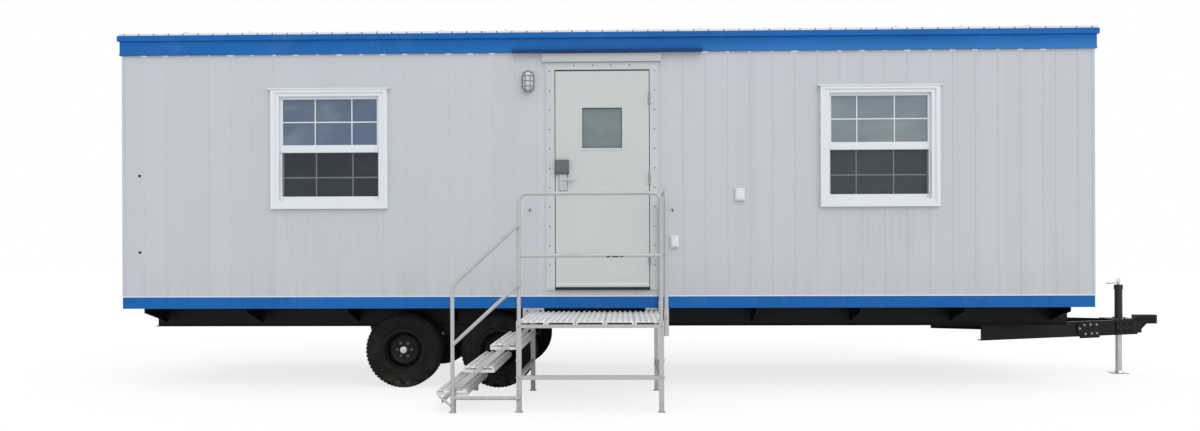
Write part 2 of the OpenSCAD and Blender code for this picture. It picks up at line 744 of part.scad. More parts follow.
// A stepped casing on the siding with a drip cap, and the box frame in the opening.
module window_frames() color([0.86, 0.88, 0.9]) each_window() {
    hole_w = win_w - 2 * casing_w - 2 * fit;
    hole_z0 = win_z + casing_w + fit;
    hole_z1 = win_z + win_h - casing_w - fit;
    slab_y(-casing_out + 10, 0) ring_xz(win_w, win_z, win_z + win_h, in_w, in_z0, in_z1);
    slab_y(-casing_out, -casing_out + 11)
        ring_xz(win_w, win_z, win_z + win_h, win_w - 80, win_z + 38, win_z + win_h - 34);
    slab_y(-1, wall_t) ring_xz(hole_w, hole_z0, hole_z1, in_w, in_z0, in_z1);
    span([-win_w / 2 - 26, -casing_out - cap_out, win_z + win_h - 4],
         [win_w / 2 + 26, 0, win_z + win_h + 6]);
}

module window_sashes() color([0.88, 0.9, 0.92]) each_window() {
    sash_out = in_w - 2 * fit;
    slab_y(8, 38) ring_xz(sash_out, meet_z, in_z1, pane_w, meet_z + meet_h, in_z1 - sash_w);
    slab_y(40, 70) ring_xz(sash_out, in_z0, meet_z + 50, pane_w, in_z0 + sash_w, meet_z);
}

module window_panes() color([0.2, 0.25, 0.28, 0.5]) each_window() {
    span([-pane_w / 2, 20, meet_z + meet_h], [pane_w / 2, 20 + pane_t, in_z1 - sash_w]);
    span([-pane_w / 2, 52, in_z0 + sash_w], [pane_w / 2, 52 + pane_t, meet_z]);
}

// Fittings on the wall

light_x = -700;
light_z = 2902;
light_w = 124;
light_h = 207;

module stadium(w, h) {
    translate([-w / 2, -h / 2 + w / 2]) square([w, h - w]);
    for (s = [-1, 1]) translate([0, s * (h - w) / 2]) circle(w / 2);
}

module light_base() color([0.6, 0.62, 0.64]) translate([light_x, 0, light_z])
    slab_y(-half_w - 34, -half_w) stadium(light_w, light_h);

module light_lens() color([0.85, 0.87, 0.88]) translate([light_x, -half_w - 34, light_z])
    difference() {
        union() {
            r = light_w / 2 - 14;
            half = (light_h - light_w) / 2;
            translate([0, 0, -half]) cylinder(r = r, h = 2 * half);
            for (s = [-1, 1]) translate([0, 0, s * half]) sphere(r);
        }
        span([-light_w, 0, -light_h], [light_w, light_w, light_h]);
    }

// Each cover's place from the door's middle and the floor, its width and its height.
outlets = [[1289, 892, 90, 121], [677, 453, 77, 115]];

module outlet_cover(x, z, w, h) {
    span([x - w / 2, -half_w - 24, z - h / 2], [x + w / 2, -half_w, z + h / 2]);
    span([x - w / 2 + 7, -half_w - 34, z - h / 2 + 7], [x + w / 2 - 7, -half_w - 23, z + h / 2 - 7]);
}

module outlet_covers() color([0.86, 0.87, 0.88]) {
    for (at = outlets) outlet_cover(door_x + at[0], floor_z + at[1], at[2], at[3]);
}

// Landing

// A ribbed aluminium plank in section: a deck with broad ribs on two side legs.
module plank_profile(w, t) {
    pitch = w / plank_ribs;
    translate([0, t - rib_h - 4]) square([w, 5]);
    for (x = [0, w - side_w]) translate([x, 0]) square([side_w, t - rib_h]);
    for (k = [0:plank_ribs - 1]) translate([(k + 0.5) * pitch, t - rib_h])
        polygon([[-rib_w / 2, 0], [rib_w / 2, 0], [rib_top / 2, rib_h], [-rib_top / 2, rib_h]]);
}

// The space that the legs take up, with a little room.
module leg_room() for (x = leg_xs, y = leg_ys)
    translate([x - leg_w / 2 - 1.5, y - leg_w / 2 - 1.5, 0])
        cube([leg_w + 3, leg_w + 3, 2 * deck_z]);

module landing_planks() color([0.78, 0.79, 0.8]) difference() {
    pitch = landing_w / planks;
    for (k = [0:planks - 1]) translate([land_x0 + k * pitch + 2, 0, deck_z - plank_t])
        slab_y(land_y0, land_y1) plank_profile(pitch - 4, plank_t);
    leg_room();
}

// Four rims between the legs, and two angle brackets under the cabin's edge that hold the rear one.
module landing_rims() color([0.76, 0.77, 0.78]) {
    for (s = [-1, 1]) {
        leg = leg_xs[s > 0 ? 1 : 0];
        ends = s > 0 ? [leg - hold_w / 2, leg + leg_w / 2 - 3] : [leg - hold_w / 2, leg + hold_w / 2];
        inner = s > 0 ? [ends[0], leg - leg_w / 2] : [leg + leg_w / 2, ends[1]];
        span([inner[0], land_y1 - 1, rim_z], [inner[1], land_y1 + 1, rim_z + hold_t]);
        span([ends[0], land_y1, rim_z], [ends[1], -half_w, rim_z + hold_t]);
        span([ends[0], -half_w - base_out, rim_z], [ends[1], -half_w + hold_in, skirt_z]);
    }
    for (y = leg_ys) span([leg_xs[0] + leg_w / 2, y - leg_w / 2, rim_z],
                          [leg_xs[1] - leg_w / 2, y + leg_w / 2, rim_z + rim_h]);
    for (x = leg_xs) span([x - leg_w / 2, leg_ys[0] + leg_w / 2, rim_z],
                          [x + leg_w / 2, leg_ys[1] - leg_w / 2, rim_z + rim_h]);
}

// Legs on foot pads, with sockets in the front ones and sleeves on the end guard's side.
module landing_legs() color([0.74, 0.75, 0.76]) difference() {
    for (x = leg_xs, y = leg_ys) {
        span([x - leg_w / 2, y - leg_w / 2, 0], [x + leg_w / 2, y + leg_w / 2, deck_z]);
        span([x - foot_w / 2, y - foot_w / 2, 0], [x + foot_w / 2, y + foot_w / 2, foot_t]);
        if (x > landing_x) {
            translate([sleeve_x, y, sleeve_z]) cylinder(r = sleeve_r, h = sleeve_h);
            span([x, y - 12, sleeve_z], [sleeve_x, y + 12, deck_z - 2]);
        }
    }
    for (x = leg_xs) translate([x, leg_ys[0], deck_z - socket_d])
        cylinder(r = tube_r + run, h = socket_d + 1);
    for (y = leg_ys) translate([sleeve_x, y, rim_z + 2]) cylinder(r = tube_r + run, h = 400);
}

// Low ties between the legs at the front and both ends.
module landing_ties() color([0.74, 0.75, 0.76]) {
    size = 33;
    span([leg_xs[0] + leg_w / 2, leg_ys[0] - size / 2, tie_z],
         [leg_xs[1] - leg_w / 2, leg_ys[0] + size / 2, tie_z + size]);
    for (x = leg_xs) span([x - size / 2, leg_ys[0] + leg_w / 2, tie_z],
                          [x + size / 2, leg_ys[1] - leg_w / 2, tie_z + size]);
}

// A hoop of tube on two posts with a middle rail, drawn in the XZ plane at Y = 0.
module hoop(x0, x1, foot, top) {
    for (x = [x0, x1]) translate([x, 0, foot]) cylinder(r = tube_r, h = top - bend_r - foot);
    rod([x0 + bend_r, top], [x1 - bend_r, top], 0, tube_r);
    elbow([x0 + bend_r, 0, top - bend_r], 90, 90, bend_r, tube_r);
    elbow([x1 - bend_r, 0, top - bend_r], 0, 90, bend_r, tube_r);
    rod([x0, mid_z], [x1, mid_z], 0, tube_r);
}

module front_guard() color([0.8, 0.81, 0.82])
    translate([0, leg_ys[0], 0]) hoop(leg_xs[0], leg_xs[1], deck_z - socket_d, rail_top);

module end_guard() color([0.8, 0.81, 0.82])
    translate([sleeve_x, 0, 0]) rotate([0, 0, 90])
        hoop(leg_ys[0], leg_ys[1], rim_z + 2, rail_top + end_up);

// Steps

// Middle of the stringers above a place along the flight.
function bar_z(x) = rise - tread_t / 2 + (x - tread_x0 + 2 * going - tread_d / 2) * rise / going;

module stair_stringers() color([0.76, 0.77, 0.78]) {
    low_x = tread_x0 - 2 * going + 44;
    for (y = [bar_y0, bar_y1 - bar_t]) slab_y(y, y + bar_t) {
        polygon([[low_x, bar_z(low_x) - bar_h / 2], [land_x0, bar_z(land_x0) - bar_h / 2],
                 [land_x0, bar_z(land_x0) + bar_h / 2], [low_x, bar_z(low_x) + bar_h / 2]]);
        translate([post_x - 20, 0]) square([40, bar_z(post_x)]);
    }
}

module stair_treads() color([0.78, 0.79, 0.8]) difference() {
    for (k = [0:treads - 1])
        translate([tread_x0 - k * going, 0, deck_z - (k + 1) * rise - tread_t]) {
            slab_y(bar_y0 + bar_t, bar_y1 - bar_t) plank_profile(tread_d, tread_t);
            for (y = [bar_y0 + bar_t, bar_y1 - bar_t - end_t])
                slab_y(y, y + end_t) square([tread_d, tread_t - end_slot]);
        }
    leg_room();
}

// The post, sloping handrail and middle rail with clamps on the guard's post, and the low tie.
module stair_handrail() color([0.8, 0.81, 0.82]) {
    top_x = leg_xs[0];
    translate([post_x - foot_w / 2, hand_y - leg_w / 2, 0]) cube([foot_w, leg_w, foot_t]);
    path = concat([[post_x, 0]],
        [for (k = [0:bend_n]) let (a = k * hand_turn / bend_n)
            [post_x + hand_bend * (1 - cos(a)), post_h + hand_bend * sin(a)]],
        [[top_x, hand_high]]);
    for (k = [0:bend_n + 1]) {
        way = (path[k + 1] - path[k]) / norm(path[k + 1] - path[k]);
        rod(path[k] + (k > 0 ? 3 : 0) * way, path[k + 1] - (k <= bend_n ? 3 : 0) * way,
            hand_y, tube_r);
    }
    for (k = [1:bend_n + 1]) translate([path[k][0], hand_y, path[k][1]]) sphere(tube_r + 0.5);
    rod([post_x, hand_low - rail_drop], [top_x, hand_high - rail_drop], hand_y, tube_r - 1);
    rod([post_x, tie_low], [top_x + 10, tie_low], hand_y, tube_r - 1);
    rod([post_x, 45], [post_x - 112, 138], hand_y, 9);
    span([post_x - 16, hand_y, 90], [post_x + 16, bar_y0, 122]);
    for (z = [hand_high, hand_high - rail_drop]) difference() {
        union() {
            translate([top_x, leg_ys[0], z - 24]) cylinder(r = tube_r + 6, h = 48);
            span([top_x - 14, hand_y - 4, z - 24], [top_x + 14, leg_ys[0], z + 24]);
        }
        translate([top_x, leg_ys[0], z - 25]) cylinder(r = tube_r + run, h = 50);
    }
}

// Drawing

place() {
    floor_deck();
    main_beams();
    crossmembers();
    drawbar_rails();
    coupler();
    jack_tube();
    jack_crank();
    jack_leg();
    axles();
    leaf_springs();
    spring_hangers();
    front_wall_left();
    front_wall_right();
    front_wall_over_door();
    back_wall();
    rear_end_wall();
    hitch_end_wall();
    base_band();
    ceiling();
    roof_deck();
    roof_fascia();
    rain_gutter();
    door_head_trim();
    door_frame();
    door_sill();
    frame_hinges();
    window_frames();
    window_sashes();
    window_panes();
    light_base();
    light_lens();
    outlet_covers();
    landing_planks();
    landing_rims();
    landing_legs();
    landing_ties();
    front_guard();
    end_guard();
    stair_stringers();
    stair_treads();
    stair_handrail();
    door_leaf();
    door_pane();
    door_hinges();
    door_locks();
    door_lever();
    tyre(0, -1);  // tyre_rear_near
    tyre(0, 1);  // tyre_rear_far
    tyre(1, -1);  // tyre_front_near
    tyre(1, 1);  // tyre_front_far
    rim(0, -1);  // rim_rear_near
    rim(0, 1);  // rim_rear_far
    rim(1, -1);  // rim_front_near
    rim(1, 1);  // rim_front_far
}
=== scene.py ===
"""Looks of a portable site cabin: finishes on its solids, and the small pieces they carry.

Lengths are metres. The cabin's own axes start under the middle of its box: X runs along the box
towards the hitch, Y from the door side to the back, and Z up from the ground.
"""
import math
from collections import namedtuple

import bmesh
import bpy
from mathutils import Matrix, Vector


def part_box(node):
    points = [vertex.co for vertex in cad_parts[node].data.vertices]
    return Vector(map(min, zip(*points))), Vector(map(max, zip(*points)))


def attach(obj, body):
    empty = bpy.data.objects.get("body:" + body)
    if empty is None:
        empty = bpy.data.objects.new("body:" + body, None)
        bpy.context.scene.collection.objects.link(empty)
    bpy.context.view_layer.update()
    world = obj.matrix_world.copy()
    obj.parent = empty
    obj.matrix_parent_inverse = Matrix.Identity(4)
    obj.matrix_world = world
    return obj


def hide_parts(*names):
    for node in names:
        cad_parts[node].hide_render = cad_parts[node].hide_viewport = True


bl_info = {
    "name": "Portable site cabin",
    "version": (1, 0, 0),
    "blender": (4, 5, 0),
    "location": "3D View > Sidebar > Site cabin",
    "description": "Finishes and small pieces for the solids of a portable site cabin",
    "category": "Object",
}

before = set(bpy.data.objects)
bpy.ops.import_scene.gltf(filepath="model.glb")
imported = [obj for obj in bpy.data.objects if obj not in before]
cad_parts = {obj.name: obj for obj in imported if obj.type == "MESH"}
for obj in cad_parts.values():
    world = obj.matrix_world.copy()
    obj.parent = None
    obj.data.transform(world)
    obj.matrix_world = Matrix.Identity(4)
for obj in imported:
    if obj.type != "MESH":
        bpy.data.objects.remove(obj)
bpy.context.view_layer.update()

# Places read from the solids
DECK_LO, DECK_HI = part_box("floor_deck")
MID_X, MID_Y = (DECK_LO.x + DECK_HI.x) / 2, (DECK_LO.y + DECK_HI.y) / 2
HALF_L, HALF_W = (DECK_HI.x - DECK_LO.x) / 2, (DECK_HI.y - DECK_LO.y) / 2
FLOOR_Z = DECK_HI.z
BAND_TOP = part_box("base_band")[1].z
FASCIA_Z, ROOF_Z = (corner.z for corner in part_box("roof_fascia"))
ROOF_LO, ROOF_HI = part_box("roof_deck")
ROOF_HALF_L, ROOF_HALF = (ROOF_HI.x - ROOF_LO.x) / 2, (ROOF_HI.y - ROOF_LO.y) / 2
CROWN_Z = ROOF_HI.z
TREAD_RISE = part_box("landing_planks")[1].z / 4

# The door side and the back along Y, and the way straight out of the door side
NEAR, FAR = -1, 1
OUT = (0, NEAR, 0)

Box = namedtuple("Box", "x0 x1 y0 y1 z0 z1")


def spot(x, y, z):
    """A point of the cabin's axes in the frame that all the tools share."""
    return Vector((MID_X + x, MID_Y + y, z))


def node_box(name):
    """A solid's box in the cabin's axes."""
    low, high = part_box(name)
    return Box(low.x - MID_X, high.x - MID_X, low.y - MID_Y, high.y - MID_Y, low.z, high.z)


def srgb(red, green, blue):
    """A colour given as 0 to 255 on a screen, as linear light."""
    parts = (c / 255 for c in (red, green, blue))
    return tuple(c / 12.92 if c <= 0.04045 else ((c + 0.055) / 1.055) ** 2.4 for c in parts)


def length(name, text, value):
    """A length that a user may change."""
    return bpy.props.FloatProperty(name=name, description=text, default=value, precision=4,
                                   unit="LENGTH")


def tint(name, text, *colour):
    """A colour that a user may change."""
    return bpy.props.FloatVectorProperty(name=name, description=text, default=srgb(*colour),
                                         min=0.0, max=1.0, size=3, subtype="COLOR")


class CabinSizes(bpy.types.PropertyGroup):
    """Sizes of the pieces that the scene adds."""
    board: length("Board pitch", "Distance between the grooves of the siding", 2 * HALF_L / 44)
    right_board: length("Right board pitch", "Groove distance to the right of the door", 0.2094)
    groove: length("Groove width", "Width of a groove between two boards", 0.0045)
    # Narrower grooves left of the door on the door side; wall_paint paints their bottoms paler as
    # painted light
    filled: length("Filled groove", "Width of a groove that paint has half filled", 0.0030)
    board_t: length("Board thickness", "How far the boards stand out from the wall", 0.0025)
    board_edge: length("Board edge", "Bevel along a board's long edges", 0.0015)
    right_groove: length("Right groove", "A groove of the sheets to the right of the door", 0.752)
    last_joint: length("Last joint", "Joint of the last whole sheet from the hitch end", 0.357)
    last_groove: length("Last groove", "Last groove from the hitch end", 0.152)
    corner_w: length("Corner trim", "Width of the trim on the box's corners", 0.018)
    dab: length("Sealant dab", "Half width of a dab of sealant at a groove's top", 0.028)
    seam_pitch: length("Roof seam pitch", "Distance between the seams across the roof", 0.6096)
    roof_screw: length("Roof screw pitch", "Distance between the screws at the roof's edge", 0.142)
    window_x: length("Window place", "Middle of a window from the middle of the box", 2.59)
    window_w: length("Window width", "Width of a window over its casing", 1.11)
    window_z: length("Window foot", "Height of the casing's foot", 1.713)
    window_h: length("Window height", "Height of a window over its casing", 1.133)
    grid_w: length("Grid bar", "Width of a bar of the window grid", 0.0105)
    grid_x: length("Grid place", "Distance of an upright grid bar from the grid's middle", 0.175)
    grid_in: length("Grid offset", "How far a front grid sits towards the door", 0.034)
    screw_r: length("Screw head", "Radius of a small screw's head", 0.006)
    bolt_r: length("Bolt head", "Radius of a bolt's head over its corners", 0.011)
    cage_r: length("Light cage", "Radius of the wire of the light's cage", 0.0038)
    tread_h: length("Tread depth", "Height of the blocks on a tyre", 0.010)


class CabinColours(bpy.types.PropertyGroup):
    """Colours of the finishes."""
    siding: tint("Siding", "Paint of the siding", 195, 200, 207)
    blue: tint("Blue", "Paint of the fascia and of the band at the foot", 8, 98, 174)
    # Painted shade: the dark tone of the gutter's lower half, which faces down
    gutter: tint("Gutter", "Paint of the rain gutter", 20, 62, 116)
    roof: tint("Roof", "Roof sheet and its edge", 236, 238, 238)
    door: tint("Door", "Paint of the door leaf", 199, 204, 203)
    trim: tint("Trim", "Paint of the door frame and the head trim", 197, 201, 205)
    vinyl: tint("Window vinyl", "Window casings and sashes", 226, 231, 236)
    # Painted reflection: the upper panes' tint stands for the sky that they mirror
    glass: tint("Glass", "Tint of the upper panes", 84, 104, 128)
    metal: tint("Planks", "Aluminium planks and treads of the landing", 232, 232, 229)
    tube: tint("Rails", "Aluminium tubes, legs and rails of the landing", 188, 190, 190)
    flashing: tint("Flashing", "Drip edge over the foot band, and the door's sweep", 224, 229, 234)
    black: tint("Chassis", "Paint of the chassis", 14, 14, 15)
    rubber: tint("Rubber", "Tyres", 15, 15, 17)
    wheel: tint("Wheels", "Paint of the rims", 16, 16, 18)
    lock: tint("Lock guard", "Hood over the lock", 98, 101, 107)
    inner: tint("Inside", "Panels inside the cabin", 214, 210, 202)


# Nodes


def add_node(tree, kind, settings, values):
    """A node in a tree: its settings first, then its sockets' values or links."""
    made = tree.nodes.new(kind)
    for key, value in settings.items():
        setattr(made, key, value)
    for key, value in (values.items() if isinstance(values, dict) else enumerate(values)):
        for one in value if isinstance(value, list) else [value]:
            if isinstance(one, bpy.types.NodeSocket):
                tree.links.new(one, made.inputs[key])
            else:
                made.inputs[key].default_value = one
    return made


# Materials


class Wire:
    """A socket in a material, for use in sums."""

    def __init__(self, paint, socket):
        self.paint, self.socket = paint, socket

    def other(self, name):
        """Another output of the same node."""
        return Wire(self.paint, self.socket.node.outputs[name])

    def __add__(self, value):
        return self.paint.maths("ADD", self, value)

    def __sub__(self, value):
        return self.paint.maths("SUBTRACT", self, value)

    def __rsub__(self, value):
        return self.paint.maths("SUBTRACT", value, self)

    def __mul__(self, value):
        return self.paint.maths("MULTIPLY", self, value)

    def __truediv__(self, value):
        return self.paint.maths("DIVIDE", self, value)

    def __rtruediv__(self, value):
        return self.paint.maths("DIVIDE", value, self)

    def __gt__(self, value):
        return self.paint.maths("GREATER_THAN", self, value)

    def __lt__(self, value):
        return self.paint.maths("LESS_THAN", self, value)

    def __abs__(self):
        return self.paint.maths("ABSOLUTE", self, 0.0)

    __radd__ = __add__
    __rmul__ = __mul__


class Paint:
    """A material built from nodes, on the cabin's own axes."""

    def __init__(self, name, **fixed):
        self.material = bpy.data.materials.new(name)
        self.material.use_nodes = True
        self.tree = self.material.node_tree
        self.shader = self.tree.nodes["Principled BSDF"]
        self.set(**fixed)
        coords = self.node("ShaderNodeTexCoord", {}, {}, "Object")
        self.where = self.node("ShaderNodeVectorMath", {"operation": "SUBTRACT"},
                               [coords, (MID_X, MID_Y, 0.0)])
        self.x = self.node("ShaderNodeSeparateXYZ", {}, [self.where], "X")
        self.y, self.z = self.x.other("Y"), self.x.other("Z")

    def node(self, kind, settings, values, out=0):
        """One output of a new node; the wires among its values become links."""
        pairs = values.items() if isinstance(values, dict) else enumerate(values)
        given = {key: value.socket if isinstance(value, Wire) else value for key, value in pairs}
        return Wire(self, add_node(self.tree, kind, settings, given).outputs[out])

    def maths(self, operation, *values):
        return self.node("ShaderNodeMath", {"operation": operation}, list(values))

    def noise(self, scale, detail=4.0, rough=0.55, stretch=(1.0, 1.0, 1.0)):
        """Even noise from 0 to 1, stretched along the axes that are scaled down."""
        placed = self.node("ShaderNodeVectorMath", {"operation": "MULTIPLY"},
                           [self.where, stretch])
        return self.node("ShaderNodeTexNoise", {},
                         {"Vector": placed, "Scale": scale, "Detail": detail, "Roughness": rough})

    def ramp(self, value, low, high):
        """0 below low, 1 above high, and a smooth step between."""
        return self.node("ShaderNodeMapRange", {"interpolation_type": "SMOOTHSTEP"},
                         {"Value": value, "From Min": low, "From Max": high})

    def band(self, value, low, high, soft):
        """1 between low and high, with soft ends."""
        past = self.ramp(value, high - soft, high + soft)
        return self.ramp(value, low - soft, low + soft) * (1.0 - past)

    def stripes(self, value, pitch, width):
        """1 on lines of a width that repeat at a pitch."""
        part = self.maths("PINGPONG", value, pitch / 2)
        return 1.0 - self.ramp(part, width * 0.3, width)

    def blend(self, mask, low, high):
        """A colour between two, by a mask."""
        low, high = (c if isinstance(c, Wire) else (*c[:3], 1.0) for c in (low, high))
        return self.node("ShaderNodeMix", {"data_type": "RGBA"}, {0: mask, 6: low, 7: high}, 2)

    def bump(self, height, distance, strength):
        """Feeds a height, as a share of a distance in metres, to the shader's normal."""
        values = {"Height": height, "Distance": distance, "Strength": strength}
        self.set(Normal=self.node("ShaderNodeBump", {}, values, "Normal"))

    def set(self, **sockets):
        """Sets or links the shader's sockets; an underscore stands for a space."""
        for key, value in sockets.items():
            socket = self.shader.inputs[key.replace("_", " ")]
            if isinstance(value, Wire):
                self.tree.links.new(value.socket, socket)
            elif isinstance(value, tuple):
                socket.default_value = (*value[:3], 1.0)
            else:
                socket.default_value = value


def shade(colour, share):
    """A colour made darker or lighter."""
    return tuple(min(1.0, c * share) for c in colour[:3])


def toward(colour, other, share):
    """A colour moved towards another."""
    return tuple(a + (b - a) * share for a, b in zip(colour[:3], other[:3]))


DUST = srgb(150, 140, 124)
RUST = srgb(112, 62, 34)


def coat(name, colour, gloss, wear):
    """Sprayed paint on metal: uneven tone, darker specks and a fine peel."""
    paint = Paint(name)
    cloud = paint.ramp(paint.noise(1.3, 5.0), 0.3, 0.7)
    tone = paint.blend(cloud, shade(colour, 1 - wear), shade(colour, 1 + wear))
    speck = paint.ramp(paint.noise(34.0, 6.0, 0.7), 0.62, 0.8)
    tone = paint.blend(speck * 0.12, tone, shade(colour, 0.72))
    paint.set(Base_Color=tone, Roughness=gloss + paint.noise(9.0, 5.0) * 0.16)
    paint.bump(paint.noise(260.0, 3.0), 0.0004, 0.35)
    return paint.material


def siding_paint(c):
    """Painted boards: each a little different, with rain streaks, dust and upright grain."""
    paint = Paint("siding_boards_paint", Specular_IOR_Level=0.35)
    pitch = bpy.context.scene.cabin_sizes.board
    along = paint.maths("FLOOR", (paint.x + HALF_L) / pitch)
    over = paint.maths("FLOOR", (paint.y + HALF_W) / pitch)
    board = along + over * 57.0
    own = paint.node("ShaderNodeTexWhiteNoise", {"noise_dimensions": "1D"}, {"W": board})
    streak = paint.noise(1.0, 5.0, 0.6, (9.0, 9.0, 0.32))
    fine = paint.noise(1.0, 4.0, 0.6, (46.0, 46.0, 1.1))
    cloud = paint.noise(0.55, 4.0)
    tone = paint.blend(own * 0.5 + streak * 0.5, shade(c.siding, 0.955), shade(c.siding, 1.03))
    greyed = toward(c.siding, (0.56, 0.55, 0.6), 0.5)
    tone = paint.blend(paint.ramp(cloud, 0.35, 0.7) * 0.35, tone, greyed)
    tone = paint.blend(paint.ramp(fine, 0.58, 0.75) * 0.07, tone, shade(c.siding, 0.7))
    low = (1.0 - paint.ramp(paint.z, BAND_TOP, BAND_TOP + 0.42)) * paint.ramp(streak, 0.3, 0.75)
    tone = paint.blend(low * 0.16, tone, DUST)
    under_windows = paint.band(abs(paint.x), 2.05, 3.13, 0.05) * paint.band(paint.z, 1.3, 1.72, 0.2)
    tone = paint.blend(under_windows * paint.ramp(fine, 0.45, 0.7) * 0.12, tone, DUST)
    paint.set(Base_Color=tone, Roughness=0.5 + streak * 0.16)
    grain = paint.noise(1.0, 6.0, 0.65, (130.0, 130.0, 6.0)) + paint.noise(5.0, 2.0) * 0.8
    paint.bump(grain, 0.0012, 0.32)
    return paint.material


def wall_paint(c):
    """The wall's own solid: groove bottoms outside, paler left of the door as painted light, smooth
    panels with cover strips inside.
    """
    paint = Paint("wall_core_paint", Roughness=0.6)
    wall_t, kick_h = 0.05, 0.1
    inside = (abs(paint.x) < HALF_L - wall_t) * (abs(paint.y) < HALF_W - wall_t)
    outer = paint.blend(paint.noise(7.0, 4.0), shade(c.siding, 0.98), shade(c.siding, 1.04))
    # Painted light: the groove bottoms left of the door on the door side are painted paler, as if lit
    filled = (paint.x < node_box("door_frame").x0) * (paint.y < 0.0)
    outer = paint.blend(filled, outer, shade(c.siding, 1.18))
    strip = paint.stripes(paint.x, 1.22, 0.016) * 0.5
    panel = paint.blend(paint.noise(3.0, 5.0), shade(c.inner, 0.93), c.inner)
    panel = paint.blend(strip, panel, shade(c.inner, 0.7))
    kick = 1.0 - paint.ramp(paint.z, FLOOR_Z + kick_h - 0.005, FLOOR_Z + kick_h)
    panel = paint.blend(kick, panel, srgb(92, 84, 78))
    paint.set(Base_Color=paint.blend(inside, outer, panel))
    paint.bump(paint.noise(180.0, 3.0), 0.0004, 0.3)
    return paint.material


def blue_paint(c):
    """Gloss blue on metal: chalked, painted paler along the fascia's foot as painted light, faint
    grooves in the foot band.
    """
    paint = Paint("blue_gloss_paint", Specular_IOR_Level=0.22)
    pitch = bpy.context.scene.cabin_sizes.board
    cloud = paint.noise(0.8, 5.0, 0.6, (1.0, 1.0, 4.0))
    tone = paint.blend(paint.ramp(cloud, 0.3, 0.7), shade(c.blue, 0.9), shade(c.blue, 1.08))
    chalk = paint.ramp(paint.noise(2.6, 7.0, 0.65), 0.52, 0.78)
    tone = paint.blend(chalk * 0.12, tone, toward(c.blue, (0.5, 0.6, 0.75), 0.45))
    foot = paint.z < BAND_TOP + 0.02
    # Painted light: the fascia is painted paler and more cyan towards its foot, more so towards the
    # hitch, as if its top lay in the lip's shade
    painted_lit_foot = (1.0 - paint.ramp(paint.z, FASCIA_Z, FASCIA_Z + 0.11)) * paint.ramp(paint.x, -6.0, 5.0)
    tone = paint.blend((1.0 - foot) * painted_lit_foot * 0.42, tone, srgb(66, 140, 196))
    line = paint.stripes(paint.x + HALF_L, pitch, 0.0045) * foot
    tone = paint.blend(line * 0.4, tone, shade(c.blue, 0.5))
    splash = foot * paint.ramp(paint.noise(9.0, 7.0, 0.7, (1.0, 1.0, 0.5)), 0.55, 0.8)
    tone = paint.blend(splash * 0.1, tone, DUST)
    paint.set(Base_Color=tone, Roughness=0.3 + paint.noise(5.0, 4.0) * 0.18)
    paint.bump(paint.noise(240.0, 3.0) - line * 2.0, 0.0006, 0.35)
    return paint.material


def black_paint(name, colour, rusty=0.5):
    """Black enamel on rolled steel with road dust and rust in the pits."""
    paint = Paint(name, Specular_IOR_Level=0.2)
    cloud = paint.noise(2.2, 6.0, 0.6)
    tone = paint.blend(cloud, shade(colour, 0.75), shade(colour, 1.35))
    dust = paint.ramp(paint.noise(5.0, 7.0, 0.65), 0.5, 0.85)
    tone = paint.blend(dust * 0.035, tone, DUST)
    pits = paint.ramp(paint.noise(22.0, 8.0, 0.75), 0.64, 0.76)
    tone = paint.blend(pits * rusty * 0.4, tone, RUST)
    paint.set(Base_Color=tone, Roughness=0.42 + dust * 0.3)
    paint.bump(paint.noise(90.0, 5.0) + pits * 0.5, 0.0012, 0.4)
    return paint.material


def rubber_paint(c):
    """Tyre rubber, greyed by dust."""
    paint = Paint("tyre_rubber", Specular_IOR_Level=0.2)
    dust = paint.ramp(paint.noise(8.0, 8.0, 0.65), 0.42, 0.8)
    tone = paint.blend(dust * 0.07, c.rubber, DUST)
    low = (1.0 - paint.ramp(paint.z, 0.0, 0.16)) * paint.ramp(paint.noise(20.0, 6.0), 0.4, 0.7)
    paint.set(Base_Color=paint.blend(low * 0.25, tone, DUST), Roughness=0.72 + dust * 0.16)
    paint.bump(paint.noise(420.0, 3.0), 0.0006, 0.4)
    return paint.material


def plank_paint(c):
    """Ribbed planks: feet have worn the ribs bright, the valleys between them are grey, and painted
    shade darkens them near the wall.
    """
    paint = Paint("plank_aluminium")
    plank_w = 0.2392
    below = TREAD_RISE - paint.maths("MODULO", paint.z - 0.0005, TREAD_RISE)
    valley = paint.ramp(below, 0.003, 0.012)
    lines = paint.noise(1.0, 3.0, 0.6, (420.0, 7.0, 420.0))
    worn = paint.ramp(paint.noise(3.2, 6.0, 0.6, (2.0, 1.0, 1.0)), 0.35, 0.7)
    own = paint.node("ShaderNodeTexWhiteNoise", {"noise_dimensions": "1D"},
                     {"W": paint.maths("FLOOR", paint.x / plank_w + 0.2)})
    rib = paint.blend(worn * 0.6 + own * 0.4, shade(c.metal, 1.04), shade(c.metal, 1.2))
    low = paint.blend(worn * 0.5 + lines * 0.5, shade(c.metal, 0.6), shade(c.metal, 0.92))
    tone = paint.blend(valley * 0.75, rib, low)
    # Painted shade: the planks are painted darker towards the wall, where the cabin shades them
    painted_wall_shade = paint.ramp(paint.y + worn * 0.15, -1.75, -1.25)
    tone = paint.blend(painted_wall_shade * 0.45, tone, shade(c.metal, 0.6))
    scuff = paint.ramp(paint.noise(48.0, 6.0, 0.75), 0.64, 0.78)
    tone = paint.blend(scuff * 0.35, tone, shade(c.metal, 0.45))
    paint.set(Base_Color=tone, Metallic=0.06 + worn * 0.06, Roughness=0.42 + valley * 0.2)
    paint.bump(lines + scuff * 0.4, 0.0005, 0.4)
    return paint.material


